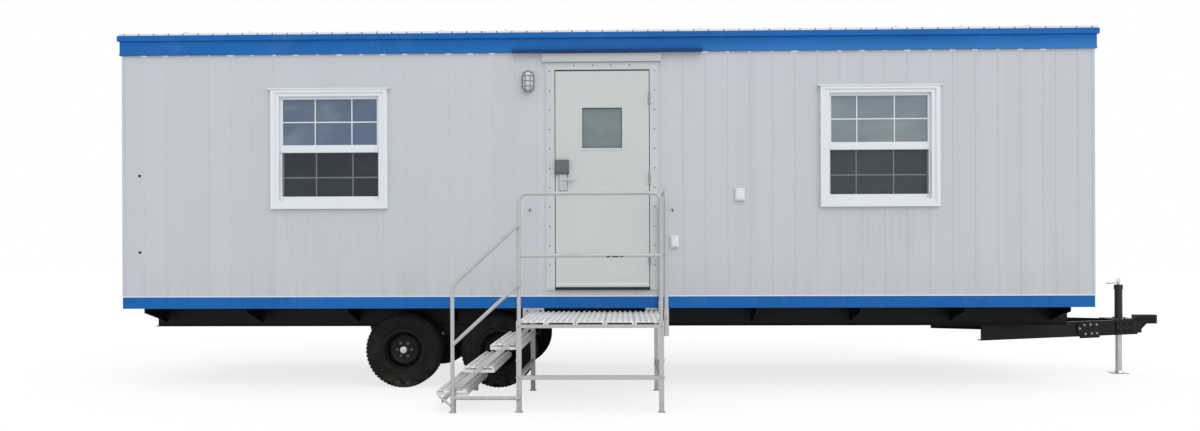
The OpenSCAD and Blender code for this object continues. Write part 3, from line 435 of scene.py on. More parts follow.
def aluminium_paint(name, colour, along, scrape=None):
    """Bare extruded aluminium: die lines along its length, dull oxide, scuffs, a scrape if given."""
    paint = Paint(name)
    lines = paint.noise(1.0, 3.0, 0.6, tuple(7.0 if a else 420.0 for a in along))
    oxide = paint.ramp(paint.noise(7.0, 7.0, 0.65), 0.4, 0.75)
    tone = paint.blend(lines * 0.5 + oxide * 0.5, shade(colour, 1.05), shade(colour, 0.84))
    scuff = paint.ramp(paint.noise(60.0, 6.0, 0.75), 0.66, 0.78)
    tone = paint.blend(scuff * 0.35, tone, shade(colour, 0.5))
    if scrape:
        x0, x1, z0, z1, y1 = scrape
        mark = paint.band(paint.x, x0, x1, 0.012) * paint.band(paint.z, z0, z1, 0.003)
        mark = mark * (paint.y < y1) * paint.ramp(paint.noise(40.0, 4.0), 0.3, 0.5)
        tone = paint.blend(mark, tone, shade(colour, 0.06))
    low = (1.0 - paint.ramp(paint.z, 0.02, 0.22)) * paint.ramp(paint.noise(24.0, 6.0), 0.35, 0.7)
    tone = paint.blend(low * 0.5, tone, DUST)
    paint.set(Base_Color=tone, Metallic=0.34 - oxide * 0.2, Roughness=0.42 + oxide * 0.2)
    paint.bump(lines + scuff * 0.4, 0.0005, 0.4)
    return paint.material


def steel_paint(name, colour, rough, dull):
    """Bright plated or satin steel with fine brushing and tarnish."""
    paint = Paint(name)
    brush = paint.noise(1.0, 3.0, 0.6, (60.0, 60.0, 900.0))
    stain = paint.ramp(paint.noise(30.0, 6.0, 0.7), 0.5, 0.8)
    tone = paint.blend(stain * 0.5 + brush * 0.2, colour, shade(colour, 0.62))
    paint.set(Base_Color=tone, Metallic=0.95 - dull - stain * 0.15, Roughness=rough + stain * 0.2)
    paint.bump(brush, 0.0002, 0.4)
    return paint.material


def vinyl_paint(c):
    """White window vinyl with a soft gloss and grime on its ledges."""
    paint = Paint("window_vinyl_white", Specular_IOR_Level=0.4)
    soft = paint.noise(2.5, 5.0)
    tone = paint.blend(soft, shade(c.vinyl, 0.965), c.vinyl)
    grime = paint.ramp(paint.noise(26.0, 7.0, 0.7, (1.0, 1.0, 0.3)), 0.58, 0.8)
    ledge = paint.band(paint.z, 1.70, 1.80, 0.02)
    tone = paint.blend(grime * (ledge * 0.2 + 0.05), tone, DUST)
    paint.set(Base_Color=tone, Roughness=0.32 + soft * 0.14)
    paint.bump(paint.noise(150.0, 3.0), 0.0003, 0.3)
    return paint.material


def glass_paint(name, upper, lower, split, clear):
    """Glazing with painted reflections: a left and a right tone above and below the meeting rail, pale
    cloudy patches, and rain marks.
    """
    paint = Paint(name, IOR=1.5, Specular_IOR_Level=0.55, Alpha=clear)
    below = 1.0 - paint.ramp(paint.z, split - 0.01, split + 0.01)
    # Painted reflection: each pane's tone, left and right, above and below the meeting rail, is what it
    # mirrors
    right = paint.x > 0.0
    painted_reflection = paint.ramp(paint.noise(1.3, 3.0, 0.5, (1.4, 1.0, 3.0)), 0.42, 0.68)
    tone = paint.blend(below, paint.blend(right, *upper), paint.blend(right, *lower))
    # Painted reflection: pale cloudy patches, fainter on the lower panes
    tone = paint.blend(painted_reflection * (0.34 - below * 0.22), tone, srgb(152, 162, 168))
    spots = paint.ramp(paint.noise(55.0, 6.0, 0.7, (1.0, 1.0, 0.4)), 0.6, 0.8)
    paint.set(Base_Color=paint.blend(spots * 0.06, tone, srgb(190, 195, 198)),
              Roughness=0.05 + spots * 0.12)
    return paint.material


def plain_moulding(name, colour, rough, speck=0.05):
    """Moulded plastic, rubber or sealant with a light grain."""
    paint = Paint(name, Specular_IOR_Level=0.4)
    soft = paint.noise(18.0, 5.0)
    tone = paint.blend(soft, shade(colour, 1 - speck), shade(colour, 1 + speck))
    grime = paint.ramp(paint.noise(60.0, 6.0, 0.7), 0.6, 0.8)
    paint.set(Base_Color=paint.blend(grime * 0.12, tone, DUST), Roughness=rough + soft * 0.15)
    paint.bump(paint.noise(500.0, 2.0), 0.0002, 0.3)
    return paint.material


def roof_paint(c):
    """White roof sheet with dust lying on the flat."""
    paint = Paint("roof_sheet_white", Specular_IOR_Level=0.4)
    cloud = paint.noise(1.6, 6.0)
    tone = paint.blend(cloud, shade(c.roof, 0.9), c.roof)
    lying = paint.ramp(paint.z, ROOF_Z + 0.02, ROOF_Z + 0.035) * paint.ramp(cloud, 0.45, 0.75)
    tone = paint.blend(lying * 0.3, tone, DUST)
    paint.set(Base_Color=tone, Roughness=0.42 + cloud * 0.2)
    paint.bump(paint.noise(60.0, 4.0), 0.0008, 0.3)
    return paint.material


def floor_paint(c):
    """Sheet flooring above, black weather board below, siding colour round the edge."""
    paint = Paint("floor_layers", Roughness=0.55)
    flakes = paint.noise(70.0, 3.0, 0.6)
    tile = paint.blend(flakes, srgb(128, 122, 112), srgb(172, 165, 152))
    joint = paint.stripes(paint.x, 0.305, 0.002) + paint.stripes(paint.y, 0.305, 0.002)
    tile = paint.blend(paint.maths("MINIMUM", joint, 1.0) * 0.5, tile, srgb(96, 92, 86))
    below = paint.z < FLOOR_Z - 0.01
    board = paint.blend(paint.noise(4.0, 6.0), srgb(24, 24, 25), srgb(44, 42, 40))
    edge = paint.maths("MAXIMUM", abs(paint.x) > HALF_L - 0.002, abs(paint.y) > HALF_W - 0.002)
    tone = paint.blend(edge, paint.blend(below, tile, board), shade(c.siding, 0.95))
    paint.set(Base_Color=tone)
    paint.bump(flakes, 0.0005, 0.3)
    return paint.material


def gutter_paint(c):
    """Rain gutter: blue as the fascia at the top, with painted shade along its lower half."""
    paint = Paint("gutter_paint", Specular_IOR_Level=0.22)
    gutter = node_box("rain_gutter")
    cloud = paint.noise(1.6, 5.0)
    middle = (gutter.z0 + gutter.z1) / 2 + 0.004
    # Painted shade: the gutter's lower half, which faces down, is painted dark
    lower = 1.0 - paint.ramp(paint.z + cloud * 0.006, middle - 0.006, middle + 0.010)
    dark = paint.blend(cloud, shade(c.gutter, 0.85), shade(c.gutter, 1.15))
    blue = paint.blend(cloud, shade(c.blue, 0.92), c.blue)
    paint.set(Base_Color=paint.blend(lower, blue, dark), Roughness=0.32 + cloud * 0.14)
    paint.bump(paint.noise(240.0, 3.0), 0.0005, 0.35)
    return paint.material


def lock_paint(c):
    """The lock's hood in dark paint, on a plate that is painted with the door."""
    paint = Paint("lock_guard_paint", Specular_IOR_Level=0.35)
    cloud = paint.noise(26.0, 5.0)
    hood = paint.blend(cloud, shade(c.lock, 0.9), shade(c.lock, 1.08))
    rest = paint.blend(cloud, shade(c.door, 0.95), c.door)
    hood_foot, hood_top = 2.029, 2.1645
    on_hood = paint.band(paint.z, hood_foot, hood_top, 0.0008)
    paint.set(Base_Color=paint.blend(on_hood, rest, hood), Roughness=0.4 + cloud * 0.16)
    paint.bump(paint.noise(260.0, 3.0), 0.0004, 0.35)
    return paint.material


def hinge_paint(c):
    """Hinges: plates painted over with the door, knuckles worn to the steel."""
    paint = Paint("hinge_worn_paint", Specular_IOR_Level=0.35)
    knuckle_r = 0.008
    axis = node_box("frame_hinges").x0 + knuckle_r
    bare = 1.0 - paint.ramp(abs(paint.x - axis), 0.009, 0.013)
    worn = paint.ramp(paint.noise(40.0, 6.0, 0.7), 0.35, 0.7)
    steel = paint.blend(worn, srgb(128, 132, 134), srgb(178, 181, 182))
    plate = paint.blend(worn, shade(c.door, 0.97), shade(c.door, 1.02))
    paint.set(Base_Color=paint.blend(bare, plate, steel), Metallic=bare * 0.4,
              Roughness=0.36 + worn * 0.16)
    paint.bump(paint.noise(240.0, 3.0), 0.0003, 0.35)
    return paint.material


def screen_paint():
    """Dark fly screen, half see-through."""
    paint = Paint("fly_screen_mesh", Alpha=0.3, Roughness=0.7)
    wires = paint.noise(220.0, 2.0)
    paint.set(Base_Color=paint.blend(wires, srgb(36, 43, 53), srgb(64, 72, 84)))
    return paint.material


PAINTS = {}
CAD_PAINTS = {
    "wall": ("front_wall_left", "front_wall_right", "front_wall_over_door", "back_wall",
             "rear_end_wall", "hitch_end_wall"),
    "blue": ("base_band", "roof_fascia"),
    "roof": ("roof_deck",),
    "floor": ("floor_deck",),
    "ceiling": ("ceiling",),
    "gutter": ("rain_gutter",),
    "trim": ("door_head_trim", "door_frame"),
    "seal": ("door_sill",),
    "hinge": ("frame_hinges", "door_hinges"),
    "vinyl": ("window_frames", "window_sashes"),
    "glass": ("window_panes",),
    "door_glass": ("door_pane",),
    "cast": ("light_base",),
    "lens": ("light_lens",),
    "white": ("outlet_covers",),
    "door": ("door_leaf",),
    "lock": ("door_locks",),
    "lever": ("door_lever",),
    "black": ("main_beams", "crossmembers", "drawbar_rails", "coupler", "axles", "leaf_springs",
              "spring_hangers"),
    "jack": ("jack_tube",),
    "zinc": ("jack_crank", "jack_leg"),
    "wheel": ("rim_rear_near", "rim_rear_far", "rim_front_near", "rim_front_far"),
    "deck": ("landing_planks", "stair_treads"),
    "tube_x": ("landing_rims", "stair_stringers", "landing_ties", "stair_handrail"),
    "tube_z": ("landing_legs", "front_guard", "end_guard"),
}


def mix_paints(c):
    """All the finishes, by the short names that the pieces use."""
    window_split, door_split, clear = 2.284, 2.30, 0.95
    rail_scrape = (0.05, 0.19, 1.252, 1.266, -2.4)
    PAINTS.update(
        boards=siding_paint(c), wall=wall_paint(c), blue=blue_paint(c), roof=roof_paint(c),
        floor=floor_paint(c), vinyl=vinyl_paint(c), tyre=rubber_paint(c),
        ceiling=plain_moulding("ceiling_panel", srgb(226, 225, 220), 0.7),
        gutter=gutter_paint(c),
        sweep=coat("sweep_paint", srgb(211, 215, 214), 0.4, 0.02),
        trim=coat("trim_paint", c.trim, 0.38, 0.03),
        door=coat("door_paint", c.door, 0.36, 0.025),
        lock=lock_paint(c),
        flashing=coat("flashing_paint", c.flashing, 0.36, 0.02),
        # Painted shade: a dark rim round the lever's plate
        gasket=plain_moulding("gasket_grey", srgb(112, 116, 119), 0.6, 0.1),
        cast=coat("light_housing_paint", srgb(186, 190, 194), 0.42, 0.08),
        cage=coat("light_cage_paint", srgb(138, 143, 148), 0.36, 0.1),
        jack=black_paint("jack_tube_paint", srgb(52, 55, 54), 0.2),
        black=black_paint("chassis_black", c.black),
        wheel=black_paint("wheel_black", c.wheel, 0.25),
        seal=plain_moulding("sill_rubber_black", srgb(34, 35, 38), 0.6),
        white=plain_moulding("cover_plastic_white", srgb(223, 227, 232), 0.36, 0.02),
        sealant=plain_moulding("sealant_white", srgb(238, 239, 240), 0.5, 0.03),
        dark=plain_moulding("cable_hole_dark", srgb(52, 54, 58), 0.6, 0.1),
        lens=plain_moulding("lens_frosted", srgb(212, 217, 220), 0.22, 0.03),
        screen=screen_paint(),
        # Painted reflections: the panes' tones and pale patches stand for what the glass mirrors
        glass=glass_paint("window_glazing", (c.glass, srgb(122, 134, 143)),
                          (srgb(46, 58, 74), srgb(92, 106, 118)), window_split, clear),
        door_glass=glass_paint("door_glazing", (srgb(112, 126, 130),) * 2,
                               (srgb(108, 122, 127),) * 2, door_split, clear),
        hinge=hinge_paint(c),
        lever=steel_paint("lever_satin", srgb(196, 199, 202), 0.3, 0.2),
        zinc=steel_paint("zinc_plate", srgb(214, 214, 210), 0.26, 0.05),
        bolt=steel_paint("bolt_zinc", srgb(176, 176, 172), 0.34, 0.1),
        screw=steel_paint("screw_dull", srgb(84, 86, 88), 0.45, 0.5),
        deck=plank_paint(c),
        tube_x=aluminium_paint("rail_aluminium", c.tube, (True, False, False)),
        tube_z=aluminium_paint("post_aluminium", c.tube, (False, False, True), rail_scrape),
    )


# Shapes


class Form:
    """A mesh under construction, given in the cabin's axes."""

    def __init__(self):
        self.bm = bmesh.new()

    def block(self, lo, hi, edge=0.0):
        """A box between two corners, its edges rounded over if edge is given."""
        ends = [sorted(pair) for pair in zip(lo, hi)]
        box = bmesh.new()
        corners = [box.verts.new(spot(x, y, z))
                   for x in ends[0] for y in ends[1] for z in ends[2]]
        for quad in ((0, 1, 3, 2), (4, 6, 7, 5), (0, 4, 5, 1), (2, 3, 7, 6), (0, 2, 6, 4),
                     (1, 5, 7, 3)):
            box.faces.new([corners[i] for i in quad])
        if edge:
            bmesh.ops.bevel(box, geom=box.edges[:], offset=edge, segments=2, affect="EDGES",
                            profile=0.5)
        # Each box is finished by itself, so that its points come in the same order on every run
        made = bpy.data.meshes.new("box")
        box.to_mesh(made)
        box.free()
        self.bm.from_mesh(made)
        bpy.data.meshes.remove(made)
        return self

    def prism(self, near, far):
        """A closed solid between two outlines that have the same number of points."""
        rings = [[self.bm.verts.new(spot(*p)) for p in outline] for outline in (near, far)]
        self.bm.faces.new(rings[0])
        self.bm.faces.new(rings[1][::-1])
        for i in range(len(near)):
            j = (i + 1) % len(near)
            self.bm.faces.new([rings[0][i], rings[1][i], rings[1][j], rings[0][j]])
        return self

    def slab(self, outline, axis, start, end):
        """An outline in the two other axes, drawn out along X or Z."""
        def at(along):
            return [(along, *p) if axis == "x" else (*p, along) for p in outline]
        return self.prism(at(start), at(end))

    def ring(self, x0, x1, z0, z1, width, y0, y1):
        """A flat frame round an opening in the plane of a long wall."""
        loops = []
        for y in (y0, y1):
            for grow in (0.0, width):
                loops.append([self.bm.verts.new(spot(x, y, z)) for x, z in (
                    (x0 - grow, z0 - grow), (x1 + grow, z0 - grow), (x1 + grow, z1 + grow),
                    (x0 - grow, z1 + grow))])
        for a, b in ((0, 1), (1, 3), (3, 2), (2, 0)):
            for i in range(4):
                j = (i + 1) % 4
                self.bm.faces.new([loops[a][i], loops[a][j], loops[b][j], loops[b][i]])
        return self

    def lathe(self, centre, axis, outline, sides, loop=False):
        """An outline of radius and height, turned about an axis."""
        turn = Vector((0.0, 0.0, 1.0)).rotation_difference(Vector(axis)).to_matrix()
        rings = []
        for radius, along in outline:
            count = sides if radius > 1e-6 else 1
            rings.append([self.bm.verts.new(spot(*centre) + turn @ Vector((
                radius * math.cos(2 * math.pi * k / sides),
                radius * math.sin(2 * math.pi * k / sides), along))) for k in range(count)])
        pairs = list(zip(rings, rings[1:])) + ([(rings[-1], rings[0])] if loop else [])
        for low, high in pairs:
            for k in range(sides):
                n = (k + 1) % sides
                quad = [low[k % len(low)], low[n % len(low)],
                        high[n % len(high)], high[k % len(high)]]
                self.bm.faces.new(list(dict.fromkeys(quad)))
        return self

    def mesh(self, name):
        """The finished mesh, facing outwards, smooth between its sharp edges."""
        bmesh.ops.recalc_face_normals(self.bm, faces=self.bm.faces)
        made = bpy.data.meshes.new(name)
        self.bm.to_mesh(made)
        self.bm.free()
        made.shade_smooth()
        made.set_sharp_from_angle(angle=math.radians(38))
        return made


def piece(name, shape, paint, body, slot):
    """Puts a form or a mesh in the scene as a piece that rides on a body."""
    mesh = shape.mesh(name) if isinstance(shape, Form) else shape
    mesh.materials.clear()
    mesh.materials.append(PAINTS[paint])
    mesh.polygons.foreach_set("material_index", [0] * len(mesh.polygons))
    obj = bpy.data.objects.new(name, mesh)
    bpy.context.scene.collection.objects.link(obj)
    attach(obj, body)
    return obj


# Rules for what repeats


class Rule:
    """A Geometry Nodes tree with named inputs; it ends in real meshes with a material."""

    def __init__(self, name, inputs):
        self.tree = bpy.data.node_groups.new(name, "GeometryNodeTree")
        face = self.tree.interface
        face.new_socket("Geometry", in_out="INPUT", socket_type="NodeSocketGeometry")
        face.new_socket("Geometry", in_out="OUTPUT", socket_type="NodeSocketGeometry")
        face.new_socket("Material", in_out="INPUT", socket_type="NodeSocketMaterial")
        for label, kind in inputs:
            face.new_socket(label, in_out="INPUT", socket_type="NodeSocket" + kind)
        self.start = self.tree.nodes.new("NodeGroupInput")
        self.geometry = self.start.outputs["Geometry"]

    def given(self, label):
        return self.start.outputs[label]

    def node(self, kind, settings, values, out=0):
        """One output of a new node; a list holds several links to one socket."""
        return add_node(self.tree, kind, settings, values).outputs[out]

    def maths(self, operation, *values):
        return self.node("ShaderNodeMath", {"operation": operation}, list(values))

    def end(self, geometry):
        """Real meshes, one material, and the tree's output."""
        real = self.node("GeometryNodeRealizeInstances", {}, [geometry])
        done = self.node("GeometryNodeSetMaterial", {},
                         {"Geometry": real, "Material": self.given("Material")})
        add_node(self.tree, "NodeGroupOutput", {}, {"Geometry": done})
        return self

    def grow(self, name, seed, paint, **values):
        """Runs the tree on a seed mesh and returns the plain mesh that it makes."""
        holder = bpy.data.objects.new(name, seed)
        bpy.context.scene.collection.objects.link(holder)
        modifier = holder.modifiers.new("rule", "NODES")
        modifier.node_group = self.tree
        given = {key.replace("_", " "): value for key, value in values.items()}
        given["Material"] = PAINTS[paint]
        for item in self.tree.interface.items_tree:
            if item.item_type == "SOCKET" and item.in_out == "INPUT" and item.name in given:
                modifier[item.identifier] = given.pop(item.name)
        if given:
            raise ValueError(f"{self.tree.name} has no input named {sorted(given)}")
        graph = bpy.context.evaluated_depsgraph_get()
        made = bpy.data.meshes.new_from_object(holder.evaluated_get(graph), depsgraph=graph)
        bpy.data.objects.remove(holder)
        if not made.polygons:
            raise ValueError(f"{name}: {self.tree.name} made nothing")
        made.name = name
        return made


def board_rule():
    """Each flat face becomes a board with bevelled long edges and a closed back."""
    rule = Rule("siding_boards", [("Thickness", "Float"), ("Across", "Vector")])
    extrude = rule.node("GeometryNodeExtrudeMesh", {"mode": "FACES"}, {
        "Mesh": rule.geometry, "Offset Scale": rule.given("Thickness"), "Individual": True})
    narrow = rule.node("GeometryNodeInputNamedAttribute", {"data_type": "FLOAT"},
                       {"Name": "narrow"}, "Attribute")
    face = rule.node("GeometryNodeScaleElements", {"domain": "FACE", "scale_mode": "SINGLE_AXIS"}, {
        "Geometry": extrude, "Selection": extrude.node.outputs["Top"], "Scale": narrow,
        "Axis": rule.given("Across")})
    back = rule.node("GeometryNodeFlipFaces", {}, [rule.geometry])
    both = rule.node("GeometryNodeJoinGeometry", {}, [[face, back]])
    return rule.end(rule.node("GeometryNodeMergeByDistance", {},
                              {"Geometry": both, "Distance": 0.0001}))


def head_rule():
    """A screw or bolt head with a flange at each point, standing along the point's out vector."""
    rule = Rule("fastener_heads", [
        ("Radius", "Float"), ("Height", "Float"), ("Sides", "Int"), ("Top", "Float"),
        ("Flange", "Float"), ("Flange height", "Float")])
    sunk = 0.0006
    head = rule.node("GeometryNodeMeshCone", {}, {
        "Vertices": rule.given("Sides"), "Radius Bottom": rule.given("Radius"),
        "Radius Top": rule.maths("MULTIPLY", rule.given("Radius"), rule.given("Top")),
        "Depth": rule.given("Height")}, "Mesh")
    head = rule.node("GeometryNodeTransform", {}, {
        "Geometry": head, "Translation": rule.node("ShaderNodeCombineXYZ", {}, {
            "Z": rule.maths("SUBTRACT", rule.given("Flange height"), 2 * sunk)})})
    flange = rule.node("GeometryNodeMeshCone", {}, {
        "Vertices": 14, "Radius Bottom": rule.given("Flange"),
        "Radius Top": rule.maths("MULTIPLY", rule.given("Flange"), 0.9),
        "Depth": rule.given("Flange height")}, "Mesh")
    flange = rule.node("GeometryNodeTransform", {}, {
        "Geometry": flange, "Translation": (0.0, 0.0, -sunk)})
    unit = rule.node("GeometryNodeJoinGeometry", {}, [[head, flange]])
    out = rule.node("GeometryNodeInputNamedAttribute", {"data_type": "FLOAT_VECTOR"},
                    {"Name": "out"}, "Attribute")
    turn = rule.node("FunctionNodeAlignRotationToVector", {"axis": "Z"}, {"Vector": out})
    points = rule.node("GeometryNodeMeshToPoints", {}, {"Mesh": rule.geometry})
    return rule.end(rule.node("GeometryNodeInstanceOnPoints", {}, {
        "Points": points, "Instance": unit, "Rotation": turn}))


def tube_rule():
    """Round bar along each line of edges, with closed ends."""
    rule = Rule("round_bar", [("Radius", "Float"), ("Sides", "Int")])
    line = rule.node("GeometryNodeMeshToCurve", {}, {"Mesh": rule.geometry})
    section = rule.node("GeometryNodeCurvePrimitiveCircle", {}, {
        "Resolution": rule.given("Sides"), "Radius": rule.given("Radius")})
    return rule.end(rule.node("GeometryNodeCurveToMesh", {}, {
        "Curve": line, "Profile Curve": section, "Fill Caps": True}))


def row_rule():
    """Copies of one unit in a row, each sized a little differently if asked."""
    rule = Rule("row_of_units", [("Count", "Int"), ("Step", "Vector"), ("Vary", "Float"),
                                 ("Unit place", "Vector")])
    line = rule.node("GeometryNodeMeshLine", {"mode": "OFFSET"}, {
        "Count": rule.given("Count"), "Start Location": rule.given("Unit place"),
        "Offset": rule.given("Step")})
    chance = rule.node("FunctionNodeRandomValue", {"data_type": "FLOAT"},
                       {"Min": -1.0, "Max": 1.0, "Seed": 7}, 1)
    size = rule.maths("MULTIPLY_ADD", chance, rule.given("Vary"), 1.0)
    return rule.end(rule.node("GeometryNodeInstanceOnPoints", {}, {
        "Points": line, "Instance": rule.geometry, "Scale": size}))


def tread_rule(rows):
    """Rows of slanted blocks round a tyre that turns about Y."""
    rule = Rule("tyre_tread", [("Centre", "Vector"), ("Radius", "Float"), ("Height", "Float"),
                               ("Count", "Int")])
    step = rule.maths("DIVIDE", 2 * math.pi, rule.given("Count"))
    index = rule.node("GeometryNodeInputIndex", {}, {})
    sunk = rule.maths("MULTIPLY", rule.given("Height"), -0.5)
    high = rule.maths("ADD", rule.given("Radius"), sunk)
    parts = []
    for across, wide, phase, slant in rows:
        angle = rule.maths("MULTIPLY", rule.maths("ADD", index, phase), step)
        place = rule.node("ShaderNodeCombineXYZ", {}, {
            "X": rule.maths("MULTIPLY", rule.maths("SINE", angle), high), "Y": across,
            "Z": rule.maths("MULTIPLY", rule.maths("COSINE", angle), high)})
        line = rule.node("GeometryNodeMeshLine", {"mode": "OFFSET"}, {"Count": rule.given("Count")})
        line = rule.node("GeometryNodeSetPosition", {}, {"Geometry": line, "Position": place})
        size = rule.node("ShaderNodeCombineXYZ", {}, {
            "X": rule.maths("MULTIPLY", rule.maths("MULTIPLY", step, high), 0.74), "Y": wide,
            "Z": rule.given("Height")})
        block = rule.node("GeometryNodeMeshCube", {}, {"Size": size})
        block = rule.node("GeometryNodeTransform", {}, {
            "Geometry": block, "Rotation": (0.0, 0.0, slant)})
        turn = rule.node("FunctionNodeEulerToRotation", {}, [
            rule.node("ShaderNodeCombineXYZ", {}, {"Y": angle})])
        parts.append(rule.node("GeometryNodeInstanceOnPoints", {}, {
            "Points": line, "Instance": block, "Rotation": turn}))
    both = rule.node("GeometryNodeJoinGeometry", {}, [[*parts, rule.geometry]])
    real = rule.node("GeometryNodeRealizeInstances", {}, [both])
    return rule.end(rule.node("GeometryNodeTransform", {}, {
        "Geometry": real, "Translation": rule.given("Centre")}))


RULES = {}


def heads(name, places, paint, body, slot, radius, height, sides=8, top=0.72, flange=None):
    """Fastener heads at (point, outward direction) pairs in the cabin's axes."""
    seed = bpy.data.meshes.new(name)
    seed.from_pydata([spot(*p) for p, _ in places], [], [])
    out = seed.attributes.new("out", "FLOAT_VECTOR", "POINT")
    out.data.foreach_set("vector", [c for _, n in places for c in n])
    made = RULES["heads"].grow(
        name, seed, paint, Radius=radius, Height=height, Sides=sides, Top=top,
        Flange=flange or radius * 1.15, Flange_height=height * 0.3)
    made.shade_flat()
    return piece(name, made, paint, body, slot)


def bars(name, lines, paint, body, slot, radius, sides=10):
    """Round bars along lines of points in the cabin's axes."""
    points, edges = [], []
    for line in lines:
        edges += [(len(points) + i, len(points) + i + 1) for i in range(len(line) - 1)]
        points += [spot(*p) for p in line]
    seed = bpy.data.meshes.new(name)
    seed.from_pydata(points, edges, [])
    made = RULES["tubes"].grow(name, seed, paint, Radius=radius, Sides=sides)
    made.shade_smooth()
    made.set_sharp_from_angle(angle=math.radians(50))
    return piece(name, made, paint, body, slot)


def arc(centre, radius, start, end, plane, steps=12):
    """Points on an arc in the XZ or YZ plane, in degrees from the plane's first axis."""
    x, y, z = centre
    points = []
    for k in range(steps + 1):
        a = math.radians(start + (end - start) * k / steps)
        one, two = radius * math.cos(a), radius * math.sin(a)
        points.append((x + one, y, z + two) if plane == "xz" else (x, y + one, z + two))
    return points


# Operators


class CABIN_OT_finishes(bpy.types.Operator):
    """Mixes the finishes, puts them on the solids and builds the rules"""
    bl_idname = "cabin.finishes"
    bl_label = "Finishes"

    def execute(self, context):
        mix_paints(context.scene.cabin_colours)
        for paint, nodes in CAD_PAINTS.items():
            for name in nodes:
                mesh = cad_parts[name].data
                mesh.materials.clear()
                mesh.materials.append(PAINTS[paint])
        RULES.update(boards=board_rule(), heads=head_rule(), tubes=tube_rule(), row=row_rule())
        return {"FINISHED"}


DRIP_H = 0.010
BOARD_FOOT, BOARD_HEAD = BAND_TOP + DRIP_H - 0.001, FASCIA_Z - 0.001
END_BOARDS = 12


def front_grooves(sizes):
    """Where the grooves of the door side run: two sets of sheets that meet over the door."""
    least_middle, least_last = 0.1, 0.05
    door, pitch = node_box("door_frame").x0, sizes.right_board
    left = [-HALF_L + k * sizes.board for k in range(int((door + HALF_L) / sizes.board) + 1)]
    first, last = sizes.right_groove, HALF_L - sizes.last_joint
    while first - pitch > left[-1] + least_middle:
        first -= pitch
    right = [first + k * pitch for k in range(int((last - least_last - first) / pitch) + 1)]
    return left + right + [last, HALF_L - sizes.last_groove, HALF_L]


class CABIN_OT_siding(bpy.types.Operator):
    """Lays the boards on the four walls, the trims on the corners and the edge over the foot band"""
    bl_idname = "cabin.siding"
    bl_label = "Siding"

    def cut(self, low, high, holes):
        """The rectangles that are left of a board from low to high once the holes are out."""
        sliver = 0.002
        levels = sorted({BOARD_FOOT, BOARD_HEAD, *(z for h in holes for z in h[2:])})
        left = []
        for z0, z1 in zip(levels, levels[1:]):
            parts = [(low, high)]
            for a, b, c, d in holes:
                if c < (z0 + z1) / 2 < d:
                    parts = [p for x0, x1 in parts for p in ((x0, min(x1, a)), (max(x0, b), x1))
                             if p[1] - p[0] > sliver]
            if left and left[-1][1] == parts and left[-1][0][1] == z0:
                left[-1] = ((left[-1][0][0], z1), parts)
            else:
                left.append(((z0, z1), parts))
        return [(x0, x1, z0, z1) for (z0, z1), parts in left for x0, x1 in parts]

    def wall(self, name, sizes, grooves, place, across, holes, narrow_to=-math.inf):
        """Boards between the grooves; the grooves before narrow_to are narrower."""
        points, faces, narrow = [], [], []
        gaps = [(sizes.filled if a < narrow_to else sizes.groove) / 2 for a in grooves]
        for i in range(len(grooves) - 1):
            low, high = grooves[i] + gaps[i], grooves[i + 1] - gaps[i + 1]
            for x0, x1, z0, z1 in self.cut(low, high, holes):
                faces.append(tuple(range(len(points), len(points) + 4)))
                points += [place(x0, z0), place(x1, z0), place(x1, z1), place(x0, z1)]
                narrow.append(1 - 2 * sizes.board_edge / max(x1 - x0, 4 * sizes.board_edge))
        seed = bpy.data.meshes.new(name)
        seed.from_pydata(points, [], faces)
        seed.attributes.new("narrow", "FLOAT", "FACE").data.foreach_set("value", narrow)
        made = RULES["boards"].grow(name, seed, "boards", Thickness=sizes.board_t, Across=across)
        made.shade_flat()
        piece(name, made, "boards", "cabin", "siding")

    def trims(self, sizes):
        """Angles on the four corners."""
        corners, proud, wide = Form(), 0.006, sizes.corner_w
        angle = [(-wide, proud), (proud, proud), (proud, -wide), (0, -wide), (0, 0), (-wide, 0)]
        for sx in (-1, 1):
            for sy in (-1, 1):
                corners.slab([(sx * (HALF_L + a), sy * (HALF_W + b)) for a, b in angle], "z",
                             BOARD_FOOT, BOARD_HEAD)
        piece("corner_trims", corners, "boards", "cabin", "siding")

    def drip_edge(self):
        """A thin edge round the box where the boards end over the foot band."""
        edge, proud, bevel, top = Form(), 0.0065, 0.001, BAND_TOP + DRIP_H
        for s in (-1, 1):
            edge.block((-HALF_L - proud, s * HALF_W, BAND_TOP),
                       (HALF_L + proud, s * (HALF_W + proud), top), bevel)
            edge.block((s * HALF_L, -HALF_W, BAND_TOP),
                       (s * (HALF_L + proud), HALF_W, top), bevel)
        piece("band_drip_edge", edge, "flashing", "cabin", "trim_paint")

    def execute(self, context):
        sizes = context.scene.cabin_sizes
        lap, half = 0.004, sizes.window_w / 2
        windows = [(s * sizes.window_x - half + lap, s * sizes.window_x + half - lap,
                    sizes.window_z + lap, sizes.window_z + sizes.window_h - lap) for s in (-1, 1)]
        way = node_box("door_frame")
        door = (way.x0 + lap, way.x1 - lap, way.z0 + lap, way.z1 - lap)
        even = [-HALF_L + k * sizes.board for k in range(round(2 * HALF_L / sizes.board) + 1)]
        ends = [-HALF_W + 2 * HALF_W * k / END_BOARDS for k in range(END_BOARDS + 1)]
        along, over = (1.0, 0.0, 0.0), (0.0, 1.0, 0.0)
        self.wall("siding_front", sizes, front_grooves(sizes), lambda a, z: spot(a, -HALF_W, z),
                  along, [*windows, door], narrow_to=door[0])
        self.wall("siding_back", sizes, even, lambda a, z: spot(-a, HALF_W, z), along, windows)
        self.wall("siding_hitch_end", sizes, ends, lambda a, z: spot(HALF_L, a, z), over, [])
        self.wall("siding_rear_end", sizes, ends, lambda a, z: spot(-HALF_L, -a, z), over, [])
        self.trims(sizes)
        self.drip_edge()
        return {"FINISHED"}


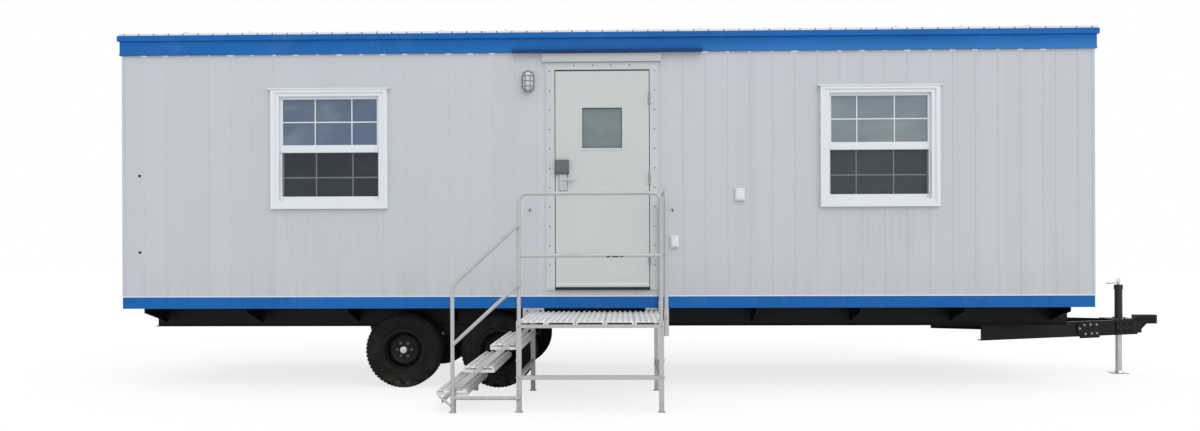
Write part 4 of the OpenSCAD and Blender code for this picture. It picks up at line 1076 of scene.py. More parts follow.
class CABIN_OT_sealant(bpy.types.Operator):
    """Dabs sealant into the tops of the grooves under the fascia"""
    bl_idname = "cabin.sealant"
    bl_label = "Sealant"

    def run(self, name, sizes, start, step, count):
        """A row of dabs that are flat against their wall, each of its own size."""
        share = (1.0, 0.3, 0.36) if step[0] else (0.3, 1.0, 0.36)
        unit = Form()
        bmesh.ops.create_icosphere(unit.bm, subdivisions=2, radius=1.0)
        for v in unit.bm.verts:
            v.co = [a * sizes.dab * b for a, b in zip(v.co, share)]
        made = RULES["row"].grow(name, unit.mesh(name), "sealant", Count=count, Step=step,
                                 Vary=0.35, Unit_place=tuple(spot(*start)))
        made.shade_smooth()
        piece(name, made, "sealant", "cabin", "trim_paint")

    def execute(self, context):
        sizes = context.scene.cabin_sizes
        z, proud, count = FASCIA_Z - 0.005, 0.003, 17
        pitch = sizes.board
        first = -HALF_L + pitch
        front = (sizes.right_groove + sizes.right_board, sizes.right_board, count - 1)
        back = (-first - (count - 1) * pitch, pitch, count)
        for word, side, (start, step, number) in (("front", NEAR, front), ("back", FAR, back)):
            y = side * (HALF_W + proud)
            self.run(f"sealant_{word}_left", sizes, (first, y, z), (pitch, 0.0, 0.0), count)
            self.run(f"sealant_{word}_right", sizes, (start, y, z), (step, 0.0, 0.0), number)
        pitch = 2 * HALF_W / END_BOARDS
        for word, side in (("rear", -1), ("hitch", 1)):
            self.run(f"sealant_{word}", sizes, (side * (HALF_L + proud), -HALF_W + pitch, z),
                     (0.0, pitch, 0.0), END_BOARDS - 1)
        return {"FINISHED"}


class CABIN_OT_roof(bpy.types.Operator):
    """Adds the roof's seams, edge bar and screws, the fascia's laps and hem, and the gutter's ends"""
    bl_idname = "cabin.roof"
    bl_label = "Roof and fascia"

    fascia_t = 0.020

    def seams(self, sizes):
        """Seams across the bowed roof."""
        steps, half, edge_z = 24, 0.011, ROOF_Z + 0.025
        pitch = sizes.seam_pitch
        count = round(2 * ROOF_HALF_L / pitch) - 1
        bow = []
        for k in range(steps + 1):
            y = -ROOF_HALF + 2 * ROOF_HALF * k / steps
            bow.append((y * 0.998, edge_z + (CROWN_Z - edge_z) * (1 - (y / ROOF_HALF) ** 2)))
        top, low = [(y, z + 0.013) for y, z in bow], [(y, z - 0.002) for y, z in bow]
        first = -(count - 1) / 2 * pitch
        seam = Form().slab(top + low[::-1], "x", first - half, first + half)
        made = RULES["row"].grow("roof_seams", seam.mesh("roof_seams"), "roof", Count=count,
                                 Step=(pitch, 0.0, 0.0), Vary=0.0, Unit_place=(0.0,) * 3)
        made.shade_flat()
        piece("roof_seams", made, "roof", "cabin", "roof")

    def edge_bar(self, sizes):
        """A bar round the roof's edge and the screws that hold it."""
        z0, z1, thick = ROOF_Z + 0.004, ROOF_Z + 0.020, 0.003
        pitch, clear, z = sizes.roof_screw, 0.1, (z0 + z1) / 2
        x_count = int((2 * ROOF_HALF_L - clear) / pitch)
        y_count = int((2 * ROOF_HALF - clear) / pitch)
        bar, places = Form(), []
        for s in (-1, 1):
            x, y = s * (ROOF_HALF_L + thick), s * (ROOF_HALF + thick)
            bar.block((-ROOF_HALF_L, s * ROOF_HALF, z0), (ROOF_HALF_L, y, z1))
            bar.block((s * ROOF_HALF_L, -ROOF_HALF - thick, z0), (x, ROOF_HALF + thick, z1))
            places += [(((k - x_count / 2) * pitch, y, z), (0, s, 0)) for k in range(x_count + 1)]
            places += [((x, (k - y_count / 2) * pitch, z), (s, 0, 0)) for k in range(y_count + 1)]
        piece("roof_edge_bar", bar, "roof", "cabin", "roof")
        heads("roof_edge_screws", places, "screw", "cabin", "hinge_steel", sizes.screw_r, 0.004)

    def fascia(self):
        """Laps where the fascia's lengths meet, and the hem along its foot."""
        low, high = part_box("roof_fascia")
        lip, lip_z = (high.y - low.y) / 2 - HALF_W, FASCIA_Z + 0.132
        laps, half, lap_x = Form(), 0.03, 1.524
        for s in (-1, 1):
            for x in (-lap_x, lap_x):
                for out, z0, z1 in ((self.fascia_t, FASCIA_Z + 0.001, lip_z),
                                    (lip, lip_z - 0.0015, ROOF_Z - 0.001)):
                    laps.block((x - half, s * (HALF_W + out - 0.001), z0),
                               (x + half, s * (HALF_W + out + 0.0018), z1))
        piece("fascia_laps", laps, "blue", "cabin", "blue_paint")
        hem, z0, z1, proud, bevel = Form(), FASCIA_Z - 0.002, FASCIA_Z + 0.012, 0.0035, 0.001
        x, y = HALF_L + self.fascia_t, HALF_W + self.fascia_t
        for s in (-1, 1):
            hem.block((-x - proud, s * (y - 0.002), z0), (x + proud, s * (y + proud), z1), bevel)
            hem.block((s * (x - 0.002), -y + 0.003, z0), (s * (x + proud), y - 0.003, z1), bevel)
        piece("fascia_hem", hem, "blue", "cabin", "blue_paint")

    def gutter_ends(self):
        """Plates that close the gutter's two ends."""
        gutter, high, deep, foot_deep = node_box("rain_gutter"), 0.046, 0.058, 0.042
        y, z = -HALF_W - self.fascia_t, gutter.z0
        outline = [(y, z), (y - foot_deep, z), (y - deep, z + high), (y, z + high)]
        ends = Form()
        for x, s in ((gutter.x0, -1), (gutter.x1, 1)):
            ends.slab(outline, "x", x - s * 0.0005, x + s * 0.002)
        piece("gutter_ends", ends, "gutter", "cabin", "gutter_paint")

    def execute(self, context):
        sizes = context.scene.cabin_sizes
        self.seams(sizes)
        self.edge_bar(sizes)
        self.fascia()
        self.gutter_ends()
        return {"FINISHED"}


class CABIN_OT_door(bpy.types.Operator):
    """Adds the pane's frame, the sweep, seal and lock plate, and the screws of the door"""
    bl_idname = "cabin.door"
    bl_label = "Door"

    spindle_x, spindle_h = 0.071, 1.015

    def pane(self, leaf):
        """A frame on both faces of the leaf, and a bead in front of the pane."""
        pane = node_box("door_pane")

        def round_pane(form, inset, width, y0, y1):
            form.ring(pane.x0 + inset, pane.x1 - inset, pane.z0 + inset, pane.z1 - inset,
                      width, y0, y1)
        rim, bead = Form(), Form()
        proud, deep = 0.004, 0.006
        for y0, y1 in ((leaf.y0 - proud, leaf.y0 + deep), (leaf.y1 - deep, leaf.y1 + proud)):
            round_pane(rim, 0.004, 0.018, y0, y1)
        piece("pane_frame", rim, "door", "door", "door_paint")
        round_pane(bead, 0.007, 0.006, leaf.y0 + deep, pane.y0 + 0.0005)
        piece("pane_bead", bead, "seal", "door", "sill_rubber")

    def sweep(self, leaf):
        """A ribbed strip across the leaf's foot."""
        face, foot, bevel = leaf.y0, leaf.z0, 0.001
        strip = Form().block((leaf.x0 + 0.001, face - 0.0035, foot + 0.001),
                             (leaf.x1 - 0.001, face + 0.001, foot + 0.042), bevel)
        strip.block((leaf.x0 + 0.002, face - 0.0055, foot + 0.012),
                    (leaf.x1 - 0.002, face - 0.003, foot + 0.018), bevel)
        piece("door_sweep", strip, "sweep", "door", "door_paint")

    def seal(self, leaf, flange):
        """A dark seal in the gap between the leaf and its frame, a weather seal that also darkens the
        gap as painted shade, with a lip of painted shade over the head.
        """
        seal, gap = Form(), 0.007
        x0, x1, head = leaf.x0 - gap, leaf.x1 + gap, leaf.z1 + gap
        y0, y1 = leaf.y0 + 0.010, leaf.y0 + 0.036
        seal.block((x0, y0, leaf.z1 + 0.002), (x1, y1, head), 0.001)
        for a, b in ((x0, leaf.x0 - 0.003), (leaf.x1 + 0.003, x1)):
            seal.block((a, y0, leaf.z0), (b, y1, leaf.z1 + 0.0018), 0.001)
        # Painted shade: a dark lip on the frame's face over the head, for the shade above the leaf
        seal.block((x0, flange - 0.0015, head - 0.001), (x1, flange + 0.002, head + 0.005), 0.0005)
        piece("door_seal_painted_shade", seal, "seal", "cabin", "sill_rubber")

    def lock(self, leaf):
        """The key cylinder, and the lever's plate on a dark rim of painted shade."""
        x, spindle = leaf.x0 + self.spindle_x, leaf.z0 + self.spindle_h
        key_z, plate = spindle - 0.068, leaf.y0 - 0.006 - 0.0012
        key = Form().lathe((x, plate + 0.0005, key_z), OUT, [
            (0, 0), (0.0125, 0), (0.0125, 0.004), (0.011, 0.0055), (0.008, 0.0055),
            (0.008, 0.0045), (0, 0.0045)], 28)
        key.block((x - 0.0012, plate - 0.0052, key_z - 0.005),
                  (x + 0.0012, plate - 0.0035, key_z + 0.005))
        piece("key_cylinder", key, "lever", "door", "lever_steel")
        cover, half, low, high, hole = Form(), 0.036, 0.104, 0.047, 0.0125
        for a, b, c, d in ((-half, half, -low, -hole), (-half, half, hole, high),
                           (-half, -hole, -hole, hole), (hole, half, -hole, hole)):
            cover.block((x + a, plate, spindle + c), (x + b, plate + 0.0017, spindle + d))
        piece("escutcheon_cover", cover, "lever", "door", "lever_steel")
        # Painted shade: a dark rim round the plate stands for the shade along its edges
        gasket = Form().ring(x - half, x + half, spindle - low, spindle + high, 0.005,
                             leaf.y0 - 0.0045, leaf.y0 + 0.0005)
        piece("escutcheon_gasket", gasket, "gasket", "door", "sill_rubber")

    def screws(self, sizes, leaf, flange):
        """Screws in the hinges, the lock's guard, the frame's flange and the head trim."""
        hinges, plate_h, plate_t = node_box("door_hinges"), 0.1, 0.003
        step = hinges.z1 - hinges.z0 - plate_h
        levels = [hinges.z0 + k * step / 2 + u for k in range(3) for u in (0.018, 0.05, 0.082)]
        for name, x, face, body in (
                ("leaf_hinge_screws", hinges.x0 + 0.017, leaf.y0, "door"),
                ("frame_hinge_screws", node_box("frame_hinges").x1 - 0.015, flange, "cabin")):
            heads(name, [((x, face - plate_t, z), OUT) for z in levels], "hinge", body,
                  "hinge_steel", sizes.screw_r * 0.8, 0.0015, 10)
        guard_up, guard_t, rivet_up = 0.051, 0.003, 0.158
        rivet_z = leaf.z0 + self.spindle_h + guard_up + rivet_up
        rivets = [((leaf.x0 + u, leaf.y0 - guard_t, rivet_z), OUT) for u in (0.018, 0.0635, 0.109)]
        heads("lock_guard_rivets", rivets, "lock", "door", "lock_paint", 0.005, 0.003, 10)
        jamb_pitch, head_pitch, top = 0.1825, 0.174, leaf.z1 - 0.001
        places = [((x, flange, top - k * jamb_pitch), OUT)
                  for x in (leaf.x0 - 0.055, leaf.x1 + 0.052) for k in range(11)]
        places += [((leaf.x0 + 0.178 + k * head_pitch, flange, leaf.z1 + 0.052), OUT)
                   for k in range(4)]
        heads("door_frame_screws", places, "screw", "cabin", "hinge_steel", sizes.screw_r, 0.003)
        trim, trim_pitch = node_box("door_head_trim"), 0.2
        places = [((trim.x0 + 0.06 + k * trim_pitch, -HALF_W - 0.024, trim.z1 - 0.03), OUT)
                  for k in range(6)]
        heads("head_trim_screws", places, "trim", "cabin", "trim_paint", sizes.screw_r, 0.003)

    def execute(self, context):
        leaf, flange = node_box("door_leaf"), node_box("door_frame").y0
        self.pane(leaf)
        self.sweep(leaf)
        self.seal(leaf, flange)
        self.lock(leaf)
        self.screws(context.scene.cabin_sizes, leaf, flange)
        return {"FINISHED"}


class CABIN_OT_windows(bpy.types.Operator):
    """Adds the grids on the panes and the fly screens over the lower sashes"""
    bl_idname = "cabin.windows"
    bl_label = "Windows"

    def grid(self, form, sizes, x, mid, pane, rows, depth):
        """Two upright bars and a cross bar in pieces between them, on each of two panes."""
        wide, bar, thick = sizes.grid_w / 2, sizes.grid_x, 0.006
        for z0, z1, y0, drop in rows:
            cross = (z0 + z1) / 2 - drop
            for u in (-bar, bar):
                form.block((mid + u - wide, depth(y0), z0),
                           (mid + u + wide, depth(y0 + thick), z1), 0.0012)
            for a, b in ((x - pane, mid - bar - wide), (mid - bar + wide, mid + bar - wide),
                         (mid + bar + wide, x + pane)):
                form.block((a, depth(y0 + 0.0005), cross - wide),
                           (b, depth(y0 + thick), cross + wide))

    def screen(self, rims, meshes, x, half, foot, top, depth):
        """A screen's frame of four bars, and its mesh."""
        edge, play, sill, head, tuck = 0.016, 0.0006, 0.041, 0.004, 0.004
        for a, b, z0, z1 in ((-half + play, -half + edge, foot + play, top - play),
                             (half - edge, half - play, foot + play, top - play),
                             (-half + edge, half - edge, foot + play, foot + sill),
                             (-half + edge, half - edge, top - head, top - play)):
            rims.block((x + a, depth(0.018), z0), (x + b, depth(0.028), z1))
        meshes.block((x - half + edge - tuck, depth(0.0225), foot + sill - tuck),
                     (x + half - edge + tuck, depth(0.0235), top - head + 0.002))

    def execute(self, context):
        sizes = context.scene.cabin_sizes
        casing_foot, casing_head, casing_sides = 0.077, 0.068, 0.160
        sash, meet = 0.026, 0.069
        foot, head = sizes.window_z + casing_foot, sizes.window_z + sizes.window_h - casing_head
        meet_z = foot + (head - foot - meet) / 2
        half = (sizes.window_w - casing_sides) / 2
        # Foot and top of a pane, its grid's depth behind the wall's face, drop of the cross bar
        rows = ((meet_z + meet, head - sash, 0.0145, 0.0), (foot + sash, meet_z, 0.0465, 0.020))
        grids, rims, meshes = Form(), Form(), Form()
        for side in (NEAR, FAR):
            def depth(inward):
                return side * (HALF_W - inward)
            for s in (-1, 1):
                x = s * sizes.window_x
                mid = x - s * (sizes.grid_in if side == NEAR else 0.0)
                self.grid(grids, sizes, x, mid, half - sash, rows, depth)
                self.screen(rims, meshes, x, half, foot, meet_z, depth)
        piece("window_grids", grids, "vinyl", "cabin", "window_vinyl")
        piece("screen_frames", rims, "vinyl", "cabin", "window_vinyl")
        piece("screen_meshes", meshes, "screen", "cabin", "fitting_grey")
        return {"FINISHED"}


class CABIN_OT_fittings(bpy.types.Operator):
    """Adds the light's cage, the outlet covers' flaps, the hooks and the cable holes"""
    bl_idname = "cabin.fittings"
    bl_label = "Wall fittings"

    # Middles of the outlet covers with their width and height, of the hooks, and of the holes
    outlets = ((1.283, 1.832, 0.090, 0.121), (0.671, 1.393, 0.077, 0.115))
    hooks = ((-0.690, 1.701), (0.653, 1.697))
    holes = ((-4.410, 2.033), (-4.410, 1.305))

    def cage(self, sizes):
        """Two upright wires and three level ones over the light, and an oval at its foot."""
        base = node_box("light_base")
        x, z, front = (base.x0 + base.x1) / 2, (base.z0 + base.z1) / 2, base.y0
        r, half, out, share = 0.053, 0.0415, 0.058, 0.87
        tall = half + r * share
        lines = []
        for u in (-0.026, 0.026):
            path = [(x + u, front, z - tall)]
            for k in range(13):
                a = math.pi * k / 12
                rise = out * share * min(1.0, math.sin(a) ** 0.55)
                path.append((x + u, front - rise, z - math.cos(a) * tall))
            lines.append(path + [(x + u, front, z + tall)])
        for level in (-0.048, 0.0, 0.048):
            turns = [math.pi * k / 14 for k in range(15)]
            lines.append([(x - r * math.cos(a), front - out * math.sin(a), z + level) for a in turns])
        oval, foot = r * 1.06, front - 0.004
        turns = [2 * math.pi * k / 40 for k in range(41)]
        lines.append([(x + oval * math.cos(a), foot,
                       z + oval * math.sin(a) + (half if math.sin(a) > 0 else -half)) for a in turns])
        bars("light_cage", lines, "cage", "cabin", "fitting_grey", sizes.cage_r, 8)

    def flaps(self):
        """A flap, its hinge and its thumb grip on each outlet cover."""
        flaps, face = Form(), node_box("outlet_covers").y0
        for x, z, w, h in self.outlets:
            left, right, foot, top = x - w / 2, x + w / 2, z - h / 2, z + h / 2
            flaps.block((left + 0.010, face - 0.004, foot + 0.010),
                        (right - 0.010, face + 0.001, top - 0.016), 0.002)
            flaps.block((left + 0.012, face - 0.003, top - 0.014),
                        (right - 0.012, face + 0.006, top - 0.008), 0.0015)
            flaps.block((x - 0.012, face - 0.007, foot + 0.013),
                        (x + 0.012, face - 0.003, foot + 0.019), 0.001)
        piece("outlet_flaps", flaps, "white", "cabin", "fitting_white")

    def hooks_and_holes(self, wall):
        """Bent hooks on round plates, and the rims of the cable holes."""
        lines, plates, rims = [], Form(), Form()
        reach, bend, tip = 0.018, 0.012, 0.010
        for x, z in self.hooks:
            plates.lathe((x, wall + 0.001, z), OUT, [
                (0, 0), (0.013, 0), (0.013, 0.004), (0.008, 0.006), (0, 0.006)], 20)
            curl = arc((x, wall - reach, z - bend), bend, 90, 270, "yz")[1:]
            lines.append([(x, wall, z), (x, wall - reach, z)] + curl
                         + [(x, wall - tip, z - 2 * bend)])
        bars("wall_hooks", lines, "screw", "cabin", "hinge_steel", 0.004, 8)
        piece("hook_plates", plates, "bolt", "cabin", "hinge_steel")
        for x, z in self.holes:
            rims.lathe((x, wall + 0.001, z), OUT, [
                (0, 0), (0.0135, 0), (0.0135, 0.003), (0.011, 0.005), (0.0085, 0.0045),
                (0.008, 0.0015), (0, 0.0015)], 24)
        piece("cable_holes", rims, "dark", "cabin", "sill_rubber")

    def execute(self, context):
        sizes = context.scene.cabin_sizes
        self.cage(sizes)
        self.flaps()
        self.hooks_and_holes(-HALF_W - sizes.board_t)
        return {"FINISHED"}


AXLES = {"rear": -1.926, "front": -1.010}
HUB_Z, HUB_Y = 0.360, 0.988


class CABIN_OT_wheels(bpy.types.Operator):
    """Makes the tyres with their tread, and the nuts, drums, grease caps and valves of the wheels"""
    bl_idname = "cabin.wheels"
    bl_label = "Wheels"

    lug_r, lugs = 0.06985, 6
    valve_r, valve_turn, tread_blocks = 0.152, 205, 58
    # Outlines as radius and distance along the axle
    side = [(0.1906, 0.066), (0.1912, 0.079), (0.199, 0.084), (0.206, 0.093), (0.214, 0.0985),
            (0.222, 0.1012), (0.226, 0.1045), (0.232, 0.1048), (0.237, 0.1030), (0.258, 0.1085),
            (0.280, 0.1105), (0.300, 0.1095), (0.312, 0.1078), (0.316, 0.1092), (0.322, 0.1088),
            (0.326, 0.1062), (0.336, 0.100), (0.344, 0.0935)]
    lining = [(0.336, 0.072), (0.300, 0.094), (0.250, 0.090), (0.212, 0.072)]
    drum = [(0.052, -0.094), (0.160, -0.094), (0.1665, -0.088), (0.1665, -0.034),
            (0.161, -0.028), (0.161, 0.002), (0.152, 0.010), (0.052, 0.010)]
    cap = [(0, -0.002), (0.0345, -0.002), (0.0345, 0.004), (0.0328, 0.006), (0.0328, 0.052),
           (0.0315, 0.0588), (0.026, 0.0605), (0.0252, 0.066), (0.0225, 0.0668), (0, 0.0672)]
    valve = [(0, 0), (0.0065, 0), (0.006, 0.010), (0.004, 0.012), (0.004, 0.022),
             (0.0045, 0.022), (0.0045, 0.033), (0.0035, 0.035), (0, 0.035)]

    def tread(self):
        """Five rows of blocks; the two beside the middle one slant."""
        pitch, rows = 0.036, []
        for k in range(-2, 3):
            slant = 0.3 * k if abs(k) == 1 else 0.0
            rows.append((k * pitch, 0.030 if abs(k) < 2 else 0.034, 0.5 * (k % 2), slant))
        return tread_rule(rows)

    def carcass(self, sizes):
        """The tyre's closed outline: one side, the crown, the other side and the lining."""
        base = HUB_Z - sizes.tread_h + 0.001
        side = self.side + [(base, 0.086)]
        outline = [(r, -w) for r, w in side] + [(base + 0.001, -0.04), (base + 0.001, 0.04)]
        outline += side[::-1] + self.lining[::-1]
        return outline + [(r, -w) for r, w in self.lining]

    def wheel(self, name, x, s):
        """What a wheel carries besides its tyre."""
        body, face = "wheel_" + name, s * (HUB_Y + 0.030)
        turns = [math.radians(360 / self.lugs * k) for k in range(self.lugs)]
        nuts = [((x + self.lug_r * math.cos(a), face, HUB_Z + self.lug_r * math.sin(a)), (0, s, 0))
                for a in turns]
        heads(f"lug_nuts_{name}", nuts, "screw", body, "zinc", 0.0150, 0.0160, 6, 0.9, 0.0165)
        drum = Form().lathe((x, s * HUB_Y, HUB_Z), (0, s, 0), self.drum, 64, loop=True)
        piece(f"brake_drum_{name}", drum, "black", body, "wheel_paint")
        cap = Form().lathe((x, face, HUB_Z), (0, s, 0), self.cap, 40)
        piece(f"grease_cap_{name}", cap, "zinc", body, "zinc")
        a = math.radians(self.valve_turn)
        stem = (x + self.valve_r * math.cos(a), face - s * 0.012, HUB_Z + self.valve_r * math.sin(a))
        valve = Form().lathe(stem, (0, s, 0), self.valve, 14)
        piece(f"valve_{name}", valve, "tyre", body, "tyre")

    def execute(self, context):
        sizes = context.scene.cabin_sizes
        tread, outline = self.tread(), self.carcass(sizes)
        for end, x in AXLES.items():
            for word, s in (("near", NEAR), ("far", FAR)):
                name = f"{end}_{word}"
                carcass = Form().lathe((-MID_X, -MID_Y, 0.0), (0, 1, 0), outline, 96, loop=True)
                made = tread.grow(f"tyre_{name}_tread", carcass.mesh("carcass"), "tyre",
                                  Centre=tuple(spot(x, s * HUB_Y, HUB_Z)), Radius=HUB_Z,
                                  Height=sizes.tread_h, Count=self.tread_blocks)
                made.set_sharp_from_angle(angle=math.radians(32))
                tyre = piece(f"tread_tyre_{name}", made, "tyre", "wheel_" + name, "tyre")
                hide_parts("tyre_" + name)
                self.wheel(name, x, s)
        return {"FINISHED"}


class CABIN_OT_running_gear(bpy.types.Operator):
    """Adds the clamps over the axles and the nuts on the spring pins"""
    bl_idname = "cabin.running_gear"
    bl_label = "Running gear"

    def execute(self, context):
        beam_y, seat = 0.765, 0.408
        clamp_r, clamp_y, clamp_top, nut_z = 0.0445, 0.0231, seat + 0.052, seat + 0.042
        pin_x, pin_y, pin_z = 0.33, 0.0333, seat + 0.087
        lines, nuts, pins = [], [], []
        for x in AXLES.values():
            for s in (NEAR, FAR):
                for u in (-clamp_y, clamp_y):
                    y = s * beam_y + u
                    bow = arc((x, y, HUB_Z), clamp_r, 180, 360, "xz", 14)
                    lines.append([(x - clamp_r, y, clamp_top), *bow, (x + clamp_r, y, clamp_top)])
                    nuts += [((x + v * clamp_r, y, nut_z), (0, 0, 1)) for v in (-1, 1)]
                pins += [((x + v, s * beam_y + t * pin_y, pin_z), (0, t, 0))
                         for v in (-pin_x, pin_x) for t in (-1, 1)]
        bars("axle_clamps", lines, "black", "cabin", "chassis", 0.006, 10)
        heads("axle_clamp_nuts", nuts, "bolt", "cabin", "zinc", 0.0105, 0.009, 6, 0.95, 0.0125)
        heads("spring_pin_nuts", pins, "bolt", "cabin", "zinc", 0.0135, 0.011, 6, 0.95, 0.015)
        return {"FINISHED"}


class CABIN_OT_drawbar(bpy.types.Operator):
    """Adds the drawbar's bolted splice plates, the coupler's bolts, and the jack's bands and grip"""
    bl_idname = "cabin.drawbar"
    bl_label = "Drawbar"

    rail_start, rail_end = (3.680, 0.790), (5.560, 0.070)
    plate_t, coupler_out, jack_x, jack_plate_top = 0.009, 0.010, 5.397, 0.580
    # Distance along the rail and height
    plate = [(1.200, 0.556), (1.200, 0.476), (1.236, 0.400), (1.49, 0.400), (1.49, 0.556)]
    plate_bolts = [(1.223, 0.500), (1.283, 0.534), (1.366, 0.536), (1.446, 0.534),
                   (1.299, 0.443), (1.381, 0.445), (1.449, 0.447)]
    coupler_bolts = [(a, z) for a in (1.75, 1.83, 1.91) for z in (0.456, 0.532)]
    # Offset from the jack's axis
    jack_bolts = [(-0.075, 0.0), (0.075, 0.0), (0.0, 0.08), (0.0, -0.08)]

    def jack(self):
        """Bands round the jack's tube and the grip of its crank."""
        bands, inner = Form(), 0.036
        for z0, z1, r in ((0.905, 0.913, 0.0445), (0.884, 0.890, 0.0440), (0.607, 0.613, 0.0395)):
            high = z1 - z0
            bands.lathe((self.jack_x, 0.0, z0), (0, 0, 1), [
                (inner, 0), (r, 0), (r + 0.001, high / 2), (r, high), (inner, high)], 36, loop=True)
        piece("jack_bands", bands, "jack", "cabin", "jack_paint")
        grip = Form().lathe((self.jack_x - 0.1225, 0.0, 0.951), (1, 0, 0), [
            (0, 0), (0.0075, 0.001), (0.0105, 0.005), (0.0115, 0.018), (0.0105, 0.036),
            (0.0115, 0.046), (0.0095, 0.054), (0, 0.0545)], 22)
        piece("crank_grip", grip, "zinc", "cabin", "zinc")

    def execute(self, context):
        sizes = context.scene.cabin_sizes
        start = Vector(self.rail_start)
        run = (Vector(self.rail_end) - start).normalized()
        out = Vector((-run.y, run.x))
        plates, splice, coupler = Form(), [], []
        for s in (NEAR, FAR):
            def on(along, off, z):
                p = start + run * along + out * off
                return p.x, s * p.y, z
            plates.prism(*([on(a, off, z) for a, z in self.plate] for off in (0.0, self.plate_t)))
            normal = (out.x, s * out.y, 0.0)
            splice += [(on(a, self.plate_t, z), normal) for a, z in self.plate_bolts]
            coupler += [(on(a, self.coupler_out, z), normal) for a, z in self.coupler_bolts]
        piece("splice_plates", plates, "black", "cabin", "chassis")
        jack = [((self.jack_x + u, v, self.jack_plate_top), (0, 0, 1)) for u, v in self.jack_bolts]
        for name, places, paint, slot in (("splice_bolts", splice, "bolt", "zinc"),
                                          ("coupler_bolts", coupler, "black", "chassis"),
                                          ("jack_plate_bolts", jack, "bolt", "zinc")):
            heads(name, places, paint, "cabin", slot, sizes.bolt_r, 0.008, 6, 0.92, 0.0135)
        self.jack()
        return {"FINISHED"}


class CABIN_OT_landing(bpy.types.Operator):
    """Adds the bolts, weld beads, socket rings and pins of the landing and its steps"""
    bl_idname = "cabin.landing"
    bl_label = "Landing and steps"

    legs_x, legs_y, leg_half = (-0.660, 0.496), (-2.510, -1.270), 0.020
    end_post_x, rail_z, tube_r = 0.536, 1.270, 0.0165

    def bolts(self, sizes):
        """Bolts through the legs, the brackets at the cabin and the steps' stringers."""
        small, legs, steps = sizes.bolt_r * 0.75, [], []
        rim_z, mid_z, tie_z = 0.698, 0.42, 0.2815
        for x, side in zip(self.legs_x, (-1, 1)):
            for y, out in zip(self.legs_y, (-1, 1)):
                legs += [((x, y + out * self.leg_half, z), (0, out, 0)) for z in (rim_z, tie_z)]
                legs += [((x + side * self.leg_half, y, z), (side, 0, 0)) for z in (tie_z, mid_z)]
        heads("landing_bolts", legs, "bolt", "cabin", "aluminium", small, 0.006, 6, 0.92)
        bracket_out, bracket_z = 0.004, 0.744
        brackets = [((x, -HALF_W - bracket_out, bracket_z), OUT)
                    for x in (-0.719, -0.592, 0.434, 0.480)]
        heads("bracket_bolts", brackets, "screw", "cabin", "hinge_steel", small, 0.006, 6, 0.92)
        treads, rise, going, top_tread_x = 3, 0.1855, 0.2205, -0.8945
        slope, tread_mid, drop, stringer_out = 0.84, 0.127, 0.03, 0.006
        for k in range(treads):
            front, top = top_tread_x - k * going, (treads - k) * rise
            for y, out in zip(self.legs_y, (-1, 1)):
                steps += [((front + u, y + out * stringer_out, top - drop + (u - tread_mid) * slope),
                           (0, out, 0)) for u in (0.095, 0.155)]
        heads("step_bolts", steps, "bolt", "cabin", "aluminium", small * 0.85, 0.005, 6, 0.92)

    def welds(self):
        """Beads where the middle rails meet the guards' posts."""
        r, z, beads = self.tube_r, self.rail_z, []
        for x, s in zip(self.legs_x, (1, -1)):
            beads.append(arc((x + s * r, self.legs_y[0], z), r, 0, 360, "yz", 20))
        for y, s in zip(self.legs_y, (1, -1)):
            beads.append(arc((self.end_post_x, y + s * r, z), r, 0, 360, "xz", 20))
        bars("rail_welds", beads, "tube_z", "cabin", "aluminium", 0.0026, 6)

    def sockets(self):
        """Rings at the mouths of the posts' sockets, and the pins of the end guard."""
        rings, pins, bore, pin_half, pin_z = Form(), [], 0.0162, 0.034, 0.76
        sleeve_mouth, leg_mouth = 0.832, 0.742
        for y in self.legs_y:
            rings.lathe((self.end_post_x, y, sleeve_mouth), (0, 0, 1), [
                (bore, 0), (0.0235, 0), (0.0235, 0.006), (bore, 0.008)], 32, loop=True)
            pins.append([(self.end_post_x, y - pin_half, pin_z), (self.end_post_x, y + pin_half, pin_z)])
        for x in self.legs_x:
            rings.lathe((x, self.legs_y[0], leg_mouth), (0, 0, 1), [
                (bore, 0), (0.0195, 0), (0.0185, 0.004), (bore, 0.005)], 32, loop=True)
        piece("socket_rings", rings, "tube_z", "cabin", "aluminium")
        bars("socket_pins", pins, "screw", "cabin", "aluminium", 0.0045, 8)

    def execute(self, context):
        self.bolts(context.scene.cabin_sizes)
        self.welds()
        self.sockets()
        return {"FINISHED"}


